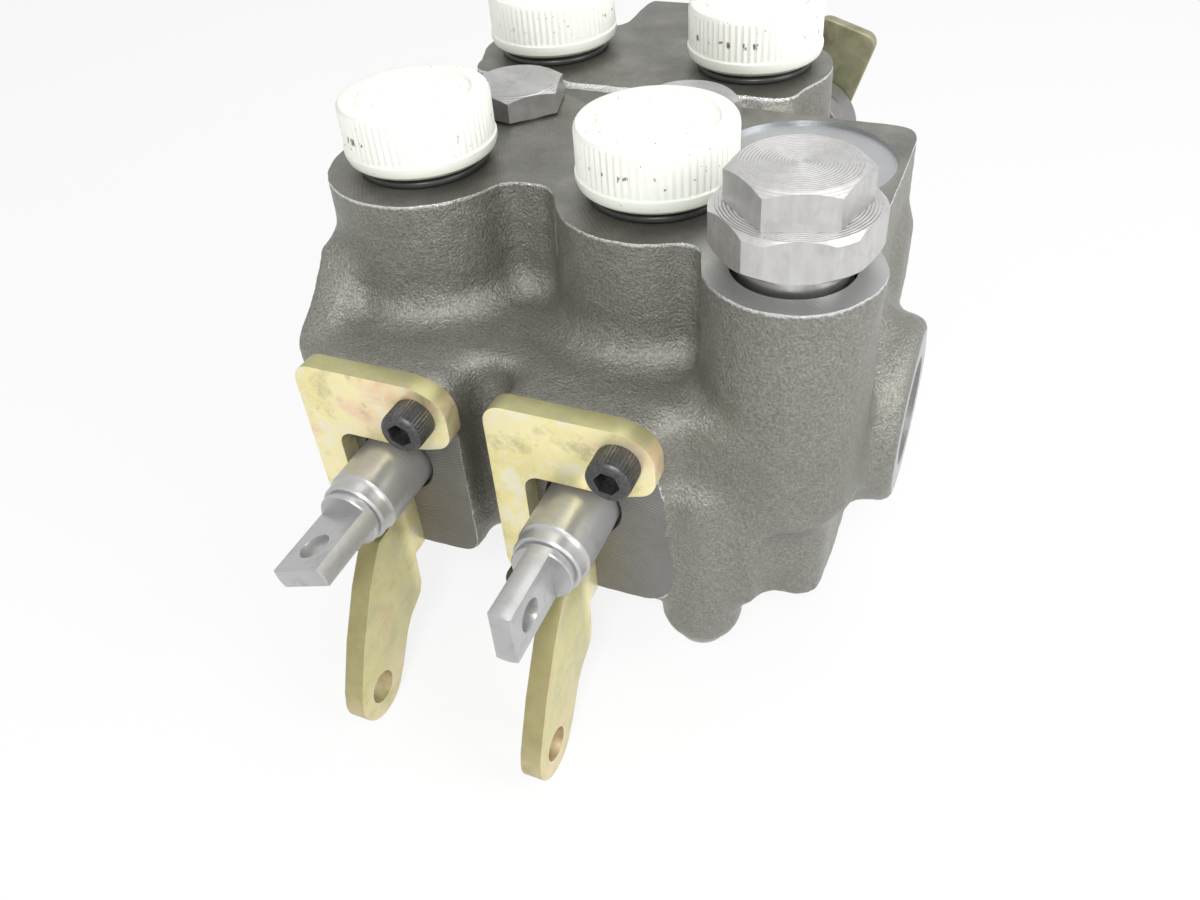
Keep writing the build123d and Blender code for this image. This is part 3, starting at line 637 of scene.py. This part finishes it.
def casting_masses():
    """The solid masses of the casting, which overlap and are then blended."""
    masses = [
        block((LEFT_WALL, -WALL_Y, BOTTOM_Z), (REAR_RIGHT_WALL, WALL_Y, DECK_Z), 5.5, "Z"),
        block((0, -WALL_Y, BOTTOM_Z), (RIGHT_WALL, 8, DECK_Z), 5.5, "Z"),
        block((LEFT_WALL, -71, BOTTOM_Z), (LEFT_WALL + 14, 71, DECK_Z), 4, "Z"),
        block((-46, -39, DECK_Z - 8), (RIGHT_WALL, 7.6, OVER_TOP_Z), 6, "Z"),
        block((-46, 6, DECK_Z - 8), (40, 39, TOP_Z - 4), 4, "Z"),
        block((-46, 15.6, DECK_Z - 8), (40, 39, OVER_TOP_Z), 5, "Z"),
        block((-18, 30, DECK_Z - 8), (16, REAR + PAD_STAND, OVER_TOP_Z), 3, "Z"),
        block((RIGHT_WALL - 6, -13, 57), (RIGHT_WALL + 2.3, 0, 78), 2, "XZ"),
    ]
    for x in SPOOL_X.values():
        masses.append(block((x - PAD_HALF, FRONT - PAD_STAND, BOTTOM_Z),
                            (x + PAD_HALF, REAR + PAD_STAND, DECK_Z), 5, "Y"))
    for x, y in PORTS:
        masses.append(port_boss(x, y, FRONT_BOSS_R if y < 0 else REAR_BOSS_R))
    column = turned([(0, 22), (8.6, 22), (11.2, 23.2), (12.2, 26), (12.2, 37), (16.6, 42),
                     (16.6, OVER_TOP_Z), (0, OVER_TOP_Z)], 64)
    masses.append(moved(column, at(*RELIEF)))
    masses.append(block((35.4, -72.2, BOTTOM_Z), (RELIEF[0], -52, DECK_Z), 4, "X"))
    for x, y in FEET:
        top = 53 if x > 0 > y else 25
        foot = turned([(0, 0), (5.6, 0), (5.6, 1.2), (7.9, 4), (9.4, 7), (9.4, top - 6),
                       (5.4, top), (0, top)], 40)
        masses.append(moved(foot, at(x, y)))
    side = turned([(0, -20), (SIDE_BOSS_R, -20), (SIDE_BOSS_R, -3), (20.2, -0.8), (18.4, 0),
                   (0, 0)], 72)
    masses.append(moved(side, at(*SIDE_PORT) @ TO_RIGHT))
    gallery = prism([(-71, 59), (-70, 64.5), (-57, 75.5), (-54, 80), (54, 80), (57, 75.5),
                     (70, 64.5), (71, 59)], 0, 9)
    masses.append(moved(gallery, at(LEFT_WALL) @ TO_SIDE))
    return joined(*masses)


def sand(made, amount, size):
    """Pushes a mesh in and out along its normals by noise of a grain size, both in millimetres."""
    mesh = made.data
    places = [vertex.co.copy() for vertex in mesh.vertices]
    ways = [vertex.normal.copy() for vertex in mesh.vertices]
    pushed = []
    for place, way in zip(places, ways):
        p = place / (size * MM)
        push = noise.noise(p) + 0.5 * noise.noise(p * 2.7 + FINE_SAND_SHIFT)
        pushed.extend(place + way * (push * amount * MM))
    mesh.vertices.foreach_set("co", pushed)
    mesh.update()


def housing(finishes):
    """The casting: its masses are swelled and shrunk again, which fills the inner corners."""
    made = piece("cast_housing", casting_masses(), finishes["cast"], "housing",
                 ["valve_body"])
    for strength in (ROOT_FILLET, -ROOT_FILLET):
        modified(made, "REMESH", mode="VOXEL", voxel_size=ROUGH_VOXEL)
        modified(made, "DISPLACE", strength=strength, mid_level=0)
    modified(made, "REMESH", mode="VOXEL", voxel_size=CAST_VOXEL)
    modified(made, "SMOOTH", factor=0.5, iterations=7)
    sand(made, 0.16, 2.6)
    sand(made, 0.35, 16)
    machine(made, finishes)
    shade(made.data, 42)


def machine(made, finishes):
    """Cuts the machined faces, bores, ports and tapped holes."""
    bored, spot = finishes["bored"], finishes["spot"]
    cut(made, block((-90, -90, TOP_Z), (100, 90, TOP_Z + 20)), finishes["top"])
    for side in (-1, 1):
        low, high = sorted((side * REAR, side * (REAR + 20)))
        cut(made, block((-90, low, -20), (100, high, 120)), finishes["pad"])
    for x in SPOOL_X.values():
        bore = moved(cylinder(8.0, FRONT - 5, REAR + 5), at(x, 0, SPOOL_Z) @ TO_FRONT)
        cut(made, bore, bored)
        for side in (-1, 1):
            outwards = turn(90 * side, "X")
            mouth = moved(cylinder(9.3, -1, 1.3, top_radius=8.0),
                          at(x, side * REAR, SPOOL_Z) @ outwards)
            cut(made, mouth, bored)
            for s in (-1, 1):
                place = at(x + s * SCREW_X, side * REAR, SPOOL_Z + s * SCREW_Z)
                cut(made, moved(cylinder(3.15, -2, 14, 24), place @ outwards), bored)
    for x, y in PORTS:
        cut(made, moved(turned(PORT_SECTION, 64), at(x, y, TOP_Z)), bored)
    for x in CHECK_X.values():
        hole = turned([(0, 1), (9.0, 1), (9.0, -27.8), (5, -27.8), (5, -45), (0, -45)], 64)
        cut(made, moved(hole, at(x, CHECK_Y, TOP_Z)), bored)
    relief_bore = turned([(0, 1), (11.6, 1), (11.6, -3), (12.6, -3.6), (12.6, -9), (10.5, -11),
                          (10.5, -40.8), (4, -40.8), (4, -59), (0, -59)], 64)
    cut(made, moved(relief_bore, at(*RELIEF, TOP_Z)), bored)
    cut(made, moved(cylinder(SPOTFACE_R, -0.8, 1, 96), at(*RETURN_PORT, TOP_Z)), spot)
    cut(made, moved(turned(PORT_SECTION, 64), at(*RETURN_PORT, TOP_Z - 0.5)), bored)
    cut(made, moved(cylinder(30, -0.4, 3, 96), at(*SIDE_PORT) @ TO_RIGHT), spot)
    cut(made, moved(turned(PORT_SECTION, 64), at(*SIDE_PORT) @ TO_RIGHT), bored)
    for x, y in FEET:
        tip = turned([(0, 0), (4.8, 0), (5.6, 0.8), (5.6, 4), (0, 4)], 48)
        cut(made, moved(tip, at(x, y)), spot, "UNION")
        cut(made, moved(cylinder(3.3, -1, 14, 24), at(x, y)), bored)


# Turned and pressed pieces

TANG_T, TANG_END = 4.76, 38.0
TANG_EYE_R, TANG_EYE_Z = 3.4, 31.0


def on_tang_eye(edge):
    """Whether an edge is on the rim of the eye, on either face of the tang."""
    return all(abs(v.co.y) > TANG_T / 2 - 0.18
               and Vector((v.co.x, v.co.z - TANG_EYE_Z)).length < TANG_EYE_R + 0.1
               for v in edge.verts)


def spool(side, finishes):
    """A spool with its lands and necks, turned end and flat tang; its front end points up."""
    length = 2 * REAR + 6.85
    neck_r, half_neck = 4.6, 4.5
    points = [(0, -length), (7.4, -length), (SPOOL_R, -length + 0.5)]
    for y in (44.5, 12.5, -22, -49):
        low, high = FRONT - (y + half_neck), FRONT - (y - half_neck)
        points += [(SPOOL_R, low), (neck_r, low), (neck_r, high), (SPOOL_R, high)]
    points += [(SPOOL_R, 15.0), (7.55, 15.6), (7.45, 16.0), (7.45, 18.3), (7.1, 18.9),
               (6.35, 19.0), (6.35, 19.7), (6.75, 19.8), (6.75, 20.6), (6.5, 20.9), (0, 20.9)]
    rod = turned(points, 96)
    flat = block((-9, -TANG_T / 2, 18), (9, TANG_T / 2, 40))
    tang = flattened(combined(cylinder(6.8, 19.5, TANG_END, 96), flat, "INTERSECT"), 1)
    soften(tang, 0.7, 50, 1, lambda e: all(v.co.z > TANG_END - 0.1 for v in e.verts))
    tang = combined(tang, moved(cylinder(TANG_EYE_R, -6, 6, 48), at(0, 0, TANG_EYE_Z) @ TO_FRONT))
    soften(tang, 0.25, 50, 2, on_tang_eye)
    whole = joined(rod, tang)
    place = at(SPOOL_X[side], FRONT, SPOOL_Z) @ turn(-SPOOL_TURN[side], "Y") @ TO_FRONT
    piece(f"{side}_ground_spool", moved(whole, place), finishes["ground"], f"{side}_spool",
          [f"{side}_spool"], 25)


EAR_X, EAR_HOLE, EAR_TIP_R = -0.9, (-28.0, -48.3), 8.2
PLATE_OUTLINE = [(-18, 26), (-18, -21), (-13, -26), (-3.3, -26), (1.5, -26), (1.5, -11),
                 (-10.6, -11), (-10.6, 9.2), (10, 9.2), (18.4, 12), (18.4, 22), (13, 26)]
PLATE_CORNER_RADII = {(-18, 26): 4.5, (-18, -21): 4, (-13, -26): 4, (-10.6, 9.2): 3.6,
                      (18.4, 12): 5, (18.4, 22): 5, (13, 26): 4, (10, 9.2): 3}


def corner_radius(edge):
    """The radius for an edge of the plate that stands on one of its corners, or None."""
    first, second = (v.co for v in edge.verts)
    if abs(first.z - second.z) > 1:
        for (x, y), radius in PLATE_CORNER_RADII.items():
            if abs(first.x - x) < 0.01 and abs(first.y - y) < 0.01:
                return radius
    return None


def bracket(side, finishes):
    """The pressed bracket: C-shaped plate round the spool, ear bent forward below."""
    plate = prism(PLATE_OUTLINE, 0, PLATE_T)
    for radius in sorted(set(PLATE_CORNER_RADII.values())):
        edges = [e for e in plate.edges if corner_radius(e) == radius]
        bmesh.ops.bevel(plate, geom=edges, offset=radius, offset_type="OFFSET", segments=6,
                        profile=0.5, affect="EDGES", material=-1, clamp_overlap=True)
    whole = flattened(combined(moved(plate, TO_FRONT), ear_plate(), "UNION"), 1)
    soften(whole, 0.5, 40, 3)
    made = piece(f"{side}_zinc_bracket", whole, finishes["zinc"], "housing",
                 [f"{side}_handle_bracket"])
    for s in (-1, 1):
        cut(made, moved(cylinder(3.5, -3, 12, 32), at(s * SCREW_X, 0, s * SCREW_Z) @ TO_FRONT))
    cut(made, moved(cylinder(3.97, -8, 8, 48), at(EAR_X, *EAR_HOLE) @ TO_RIGHT))
    made.data.transform(at(SPOOL_X[side] * MM, FRONT * MM, SPOOL_Z * MM))
    shade(made.data, 40)


def ear_plate():
    """The bracket's ear, which hangs forward and ends in a round tip about its hole."""
    y, z = EAR_HOLE
    angles = [radians(a) for a in range(172, 330, 12)]
    outline = [(-0.5, -11.2), (-9, -11.2), (-15.5, -11.6), (-18.5, -15), (-22.5, -20),
               (-29.5, -31.5), (-35.2, -43.5)]
    outline += [(y + EAR_TIP_R * cos(a), z + EAR_TIP_R * sin(a)) for a in angles]
    outline += [(-19.3, -50.6), (-17, -47), (-14.4, -43), (-11.6, -40.4), (-8.4, -38.8),
                (-6.4, -37.6), (-5.2, -35.4), (-5, -32), (-4.6, -26), (-0.5, -25.8)]
    return moved(prism(outline, -PLATE_T / 2, PLATE_T / 2), at(EAR_X) @ TO_SIDE)


def groove(bm, count, low, high, rim_r, depth):
    """Ribs a turned rim between two heights: every other column of its points moves in."""
    for v in bm.verts:
        column = round(atan2(v.co.y, v.co.x) / (pi / count))
        if column % 2 and low < v.co.z < high and v.co.xy.length > 0.92 * rim_r:
            v.co.xy *= 1 - depth / rim_r


def cap_screw(length):
    """A socket screw along Z: knurled head above Z = 0, shank below."""
    teeth, head_r = 40, 4.76
    head = turned([(0, 0), (4.55, 0), (head_r, 0.35), (head_r, 5.2), (4.62, 5.7), (4.25, 6.15),
                   (3.9, 6.35), (0, 6.35)], 2 * teeth)
    groove(head, teeth, 0.2, 5.5, head_r, 0.24)
    socket = prism(hexagon(5.5 / ACROSS_TO_CORNER), 0, 9)
    head = combined(head, moved(socket, at(0, 0, 2.9)))
    shank = turned([(0, -length), (2.6, -length), (3.1, -length + 0.6), (3.1, 0.2), (0, 0.2)], 32)
    return joined(head, shank)


def screws(name, places, length, finishes, node, facing):
    """Some screws as one piece, each turned a little further than the last."""
    shapes = [moved(cap_screw(length), at(*place) @ facing @ turn(37 * k, "Z"))
              for k, place in enumerate(places)]
    piece(name, joined(*shapes), finishes["oxide"], "housing", [node], 30)


def transit_plug(end, side, finishes):
    """A ribbed plastic plug: rounded lower band, ribbed rim, groove in its top."""
    ribs, rib_depth = 66, 0.3
    r, low, top = 16.67, 2.4, 15.7
    bm = turned([(0, -14), (8.6, -14), (9.9, -12.5), (9.9, low), (r - 3.0, low),
                 (r - 1.4, low + 0.35), (r - 0.4, low + 1.2), (r, low + 2.4), (r, low + 3.4),
                 (r - 0.35, low + 3.7), (r - 0.3, low + 4.0), (r - 0.3, top - 1.4),
                 (r - 0.45, top - 0.7), (r - 0.9, top - 0.2), (r - 1.5, top), (12.7, top),
                 (12.45, top - 0.3), (12.3, top - 0.9), (12.1, top - 0.95), (11.9, top - 0.4),
                 (11.6, top - 0.2), (0, top - 0.3)], 2 * ribs)
    groove(bm, ribs, low + 3.6, top - 0.4, r, rib_depth)
    place = at(PORT_X[side], PORT_Y[end], TOP_Z)
    twist = turn(31 * (end == "rear") + 47 * (side == "left"), "Z")
    node = f"{end}_{side}_port_plug"
    piece(f"{end}_{side}_plastic_plug", moved(bm, place @ twist), finishes["plastic"], "housing",
          [node], 30)
    ring = turned([(9.95, -0.6), (12.0, -0.4), (12.6, 0.05), (13.5, 0.0), (14.1, 0.35),
                   (14.3, 0.9), (14.1, 1.45), (13.7, 1.7), (13.9, 2.0), (13.7, 2.38),
                   (9.95, 2.38)], 96)
    piece(f"{end}_{side}_plug_seal", moved(ring, place), finishes["rubber"], "housing",
          [f"{node}_oring"], 50)


def hex_head(across, low, high, corner_r, turn_deg):
    """A hexagon whose upper corners are turned away down to a radius."""
    r = across / 2 * ACROSS_TO_CORNER
    drop = (r - corner_r) * 0.5
    limits = turned([(0, low - 1), (r + 1, low - 1), (r + 1, high - drop), (r, high - drop),
                     (corner_r, high), (0, high)], 96)
    shape = flattened(combined(prism(hexagon(across), low, high), limits, "INTERSECT"), 0.6)
    return moved(shape, turn(turn_deg, "Z"))


def check_plug(side, finishes):
    """The hexagon plug over a load check, with its threaded part and the groove of its ring."""
    head = hex_head(20.64, 0.6, 6.2, 9.7, CHECK_TURN[side])
    soften(head, 0.22, 20, 2)
    body = turned([(0, -14), (8.2, -14), (8.95, -13.2), (8.95, -4.2), (7.4, -4.2), (7.4, -1.8),
                   (8.95, -1.8), (8.95, 0.02), (9.7, 0.02), (9.9, 0.3), (9.9, 0.8), (0, 0.8)], 64)
    whole = moved(joined(head, body), at(CHECK_X[side], CHECK_Y, TOP_Z))
    piece(f"{side}_hex_check_plug", whole, finishes[f"{side}_check"], "housing",
          [f"{side}_check_plug"], 28)


def relief(finishes):
    """The relief cartridge and its cap: two hexagons, the lower with turned corners."""
    low, high, corner_r = RELIEF_HEX_Z, RELIEF_CAP_Z, 15.4
    drum = turned([(0, low), (13.6, low), (14.6, low + 0.5), (corner_r, low + 1.3),
                   (corner_r, high - 0.9), (14.4, high), (0, high)], 120)
    lower = flattened(combined(prism(hexagon(28.58), low, high), drum, "INTERSECT"), 0.6)
    soften(lower, 0.12, 18, 1)
    lower = moved(lower, turn(RELIEF_TURN, "Z"))
    neck = turned([(0, 53.2), (7.5, 53.2), (8.4, 55), (8.4, 71), (10.4, 73), (10.4, 82.8),
                   (11.4, 83.8), (11.4, 85.8), (9.6, 85.8), (9.6, 88.2), (11.4, 88.2),
                   (11.4, 90.6), (10.3, 91.8), (10.3, 96.4), (12.2, 97.8), (12.9, 99.2),
                   (0, 99.2)], 96)
    piece("relief_hex_body", moved(joined(lower, neck), at(*RELIEF)), finishes["relief"],
          "housing", ["relief_cartridge"], 13)
    upper = hex_head(22.22, RELIEF_CAP_Z + 0.02, RELIEF_TOP_Z, 10.5, RELIEF_TURN)
    soften(upper, 0.25, 20, 2)
    spigot = turned([(0, 91.2), (5.6, 91.2), (5.95, 91.6), (5.95, 107.4), (0, 107.4)], 48)
    piece("relief_hex_cap", moved(joined(upper, spigot), at(*RELIEF)), finishes["relief"],
          "housing", ["relief_cap"], 24)


def rear_pieces(finishes):
    """The end caps and the plain strap behind the right one."""
    for side, x in SPOOL_X.items():
        cup = turned([(0, 42.5), (13.5, 42.5), (13.5, 0), (CAP_R, 0), (CAP_R, 44), (15.3, 46.8),
                      (12.5, CAP_LENGTH), (0, CAP_LENGTH)], 72)
        flange = prism(flange_outline(), 0, CAP_FLANGE_T)
        soften(flange, 0.8, 60, 3)
        flange = combined(flange, cylinder(14.5, -1, 9))
        for s in (-1, 1):
            hole = moved(cylinder(3.4, -1, 9, 32), at(s * SCREW_X, -s * SCREW_Z))
            flange = combined(flange, hole)
        whole = moved(joined(cup, flange), at(x, REAR, SPOOL_Z) @ TO_REAR)
        piece(f"{side}_cast_end_cap", whole, finishes["cap"], "housing",
              [f"{side}_end_cap"], 35)
    strap = prism([(-10.2, -10), (10.2, -10), (10.2, 33), (-10.2, 33)], 0, PLATE_T, 4)
    soften(strap, 0.5, 60, 2)
    strap = combined(strap, cylinder(3.4, -2, 8, 32))
    place = at(SPOOL_X["right"], STRAP_FACE_Y, SPOOL_Z) @ turn(STRAP_LEAN, "Y") @ TO_FRONT
    piece("rear_zinc_strap", moved(strap, place), finishes["dark_zinc"], "housing",
          ["rear_strap"])


def flange_outline():
    """A rounded diamond flange: two screw ears beside the round middle."""
    points = []
    reach, ear_r, count = sqrt(SCREW_X ** 2 + SCREW_Z ** 2), 7.2, 60
    lean = atan2(-SCREW_Z, SCREW_X)
    for k in range(count):
        a = 2 * pi * k / count
        best = CAP_R
        for s in (0, pi):
            gap = (a - s + pi) % (2 * pi) - pi
            if abs(sin(gap)) * reach < ear_r and cos(gap) > 0:
                edge = reach * cos(gap) + sqrt(ear_r ** 2 - (reach * sin(gap)) ** 2)
                best = max(best, edge)
        points.append((best * cos(a + lean), best * sin(a + lean)))
    return points


def copied(node, finish, body):
    """A CAD node's own mesh, merged and smoothly shaded, as a visible piece."""
    bm = bmesh.new()
    bm.from_mesh(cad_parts[node].data)
    bmesh.ops.remove_doubles(bm, verts=bm.verts, dist=1e-6)
    bmesh.ops.scale(bm, vec=(1 / MM,) * 3, verts=bm.verts)
    return piece(f"{node}_shown", bm, finish, body, [node], 40)


def shorten(spring):
    """Gives a poppet's spring a mesh of its own."""
    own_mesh(spring)


def inner_pieces(finishes):
    """The hidden works, which keep their solid's own shape."""
    rubber, bar, wire = finishes["rubber"], finishes["bar"], finishes["spring"]
    for side in SPOOL_X:
        pack = f"{side}_spring_pack"
        for end in ("front", "rear"):
            copied(f"{side}_{end}_spool_seal", rubber, "housing")
            copied(f"{side}_{end}_spring_seat", bar, pack)
        copied(f"{side}_centring_spring", wire, pack)
        copied(f"{side}_spool_bolt", bar, f"{side}_spool")
        copied(f"{side}_check_plug_oring", rubber, "housing")
        copied(f"{side}_check_poppet", bar, f"{side}_check")
        spring = copied(f"{side}_check_spring", wire, "housing")
        shorten(spring)
    copied("relief_poppet", bar, "relief")
    spring = copied("relief_spring", wire, "housing")
    shorten(spring)
    copied("relief_oring", rubber, "housing")


# The scene

def build():
    """Every piece of the valve."""
    finishes = {
        "cast": sand_cast_iron(), "top": milled_top_iron(), "spot": spotfaced_iron(),
        "pad": milled_pad_iron(), "bored": bored_iron(), "ground": ground_steel((0.25, 14, 0.25)),
        "zinc": yellow_zinc(), "dark_zinc": dark_zinc(), "oxide": black_oxide(),
        "plastic": white_plastic(), "rubber": seal_rubber(), "cap": cast_cap_metal(),
        "spring": spring_wire(), "bar": turned_steel("turned_bar", (0, 0)),
        "left_check": turned_steel("left_check_steel", (CHECK_X["left"], CHECK_Y), 0.48),
        "right_check": turned_steel("right_check_steel", (CHECK_X["right"], CHECK_Y), 0.48),
        "relief": turned_steel("relief_steel", RELIEF, 0.6, 0.12),
    }
    housing(finishes)
    for side in SPOOL_X:
        spool(side, finishes)
        bracket(side, finishes)
        check_plug(side, finishes)
        for end in PORT_Y:
            transit_plug(end, side, finishes)
    relief(finishes)
    rear_pieces(finishes)
    holes = [(x + s * SCREW_X, SPOOL_Z + s * SCREW_Z) for x in SPOOL_X.values() for s in (-1, 1)]
    front = [(x, FRONT - PLATE_T, z) for x, z in holes]
    screws("bracket_socket_screws", front, PLATE_T + 12, finishes, "bracket_screws", TO_FRONT)
    rear = [(x, REAR + CAP_FLANGE_T, z) for x, z in holes]
    screws("end_cap_socket_screws", rear, 20, finishes, "end_cap_screws", TO_REAR)
    strap = [(SPOOL_X["right"], STRAP_FACE_Y, SPOOL_Z)]
    screws("strap_socket_screw", strap, 9.5, finishes, "rear_strap_screw", TO_REAR)
    inner_pieces(finishes)


def math_node(tree, operation, *values):
    """A maths node of a tree, fed with sockets and numbers."""
    made = tree.nodes.new("ShaderNodeMath")
    made.operation = operation
    for socket, value in zip(made.inputs, values):
        if isinstance(value, bpy.types.NodeSocket):
            tree.links.new(value, socket)
        else:
            socket.default_value = value
    return made.outputs[0]


def seen_directly(tree):
    """1 for what the camera sees, itself or in a reflection, and 0 for other light."""
    path = tree.nodes.new("ShaderNodeLightPath")
    return math_node(tree, "MAXIMUM", path.outputs["Is Camera Ray"], path.outputs["Is Glossy Ray"])


def white_for_camera(tree, surface, level):
    """Shows a surface as near white to the camera and in reflections, and keeps its shadows."""
    glow = tree.nodes.new("ShaderNodeEmission")
    glow.inputs["Color"].default_value = (1, 1, 1, 1)
    mix = tree.nodes.new("ShaderNodeMixShader")
    tree.links.new(math_node(tree, "MULTIPLY", seen_directly(tree), level), mix.inputs[0])
    tree.links.new(surface, mix.inputs[1])
    tree.links.new(glow.outputs[0], mix.inputs[2])
    return mix.outputs[0]


def stage():
    """White paper under the valve, a white sky and three soft lamps."""
    floor_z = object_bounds()[0].z - 0.2 * MM
    bm = bmesh.new()
    bmesh.ops.create_grid(bm, x_segments=1, y_segments=1, size=1500)
    floor = piece("floor", moved(bm, at(0, 0, floor_z / MM)))
    paper = bpy.data.materials.new("white_paper")
    paper.use_nodes = True
    tree = paper.node_tree
    shader = tree.nodes["Principled BSDF"]
    shader.inputs["Base Color"].default_value = (0.9, 0.9, 0.9, 1)
    shader.inputs["Roughness"].default_value = 0.9
    surface = white_for_camera(tree, shader.outputs[0], PAPER_WHITE)
    tree.links.new(surface, tree.nodes["Material Output"].inputs["Surface"])
    floor.data.materials.append(paper)
    floor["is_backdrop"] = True

    world = bpy.data.worlds.new("studio")
    bpy.context.scene.world = world
    world.use_nodes = True
    tree = world.node_tree
    sky = tree.nodes["Background"]
    sky.inputs["Color"].default_value = (1, 1, 1, 1)
    strength = math_node(tree, "MULTIPLY_ADD", seen_directly(tree), SKY_LEVEL, SKY_LEVEL)
    tree.links.new(strength, sky.inputs["Strength"])
    for name, place, size, power in LAMPS:
        lamp(name, place, size, power)


def lamp(name, place, size, power):
    """A square lamp that faces the valve."""
    data = bpy.data.lights.new(name, "AREA")
    data.size, data.energy = size, power
    made = bpy.data.objects.new(name, data)
    made.location = place
    made.rotation_mode = "QUATERNION"
    aim = Vector(LAMP_AIM) - made.location
    made.rotation_quaternion = aim.to_track_quat("-Z", "Y")
    bpy.context.scene.collection.objects.link(made)
    made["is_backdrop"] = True


def camera():
    """The photograph's viewpoint, found from its circles and edges of known size."""
    back = Vector((sin(BEARING) * cos(HEIGHT), -cos(BEARING) * cos(HEIGHT), sin(HEIGHT)))
    level = Vector((cos(BEARING), sin(BEARING), 0))
    rise = back.cross(level)
    right = level * cos(ROLL) + rise * sin(ROLL)
    up = rise * cos(ROLL) - level * sin(ROLL)
    data = bpy.data.cameras.new("view")
    data.sensor_width, data.lens = SENSOR, LENS
    data.clip_start = 0.01
    made = bpy.data.objects.new("view", data)
    made.matrix_world = Matrix((right, up, back)).transposed().to_4x4()
    made.location = CAMERA_PLACE
    bpy.context.scene.collection.objects.link(made)
    bpy.context.scene.camera = made


build()
stage()
camera()
bpy.context.scene.view_settings.view_transform = "Standard"
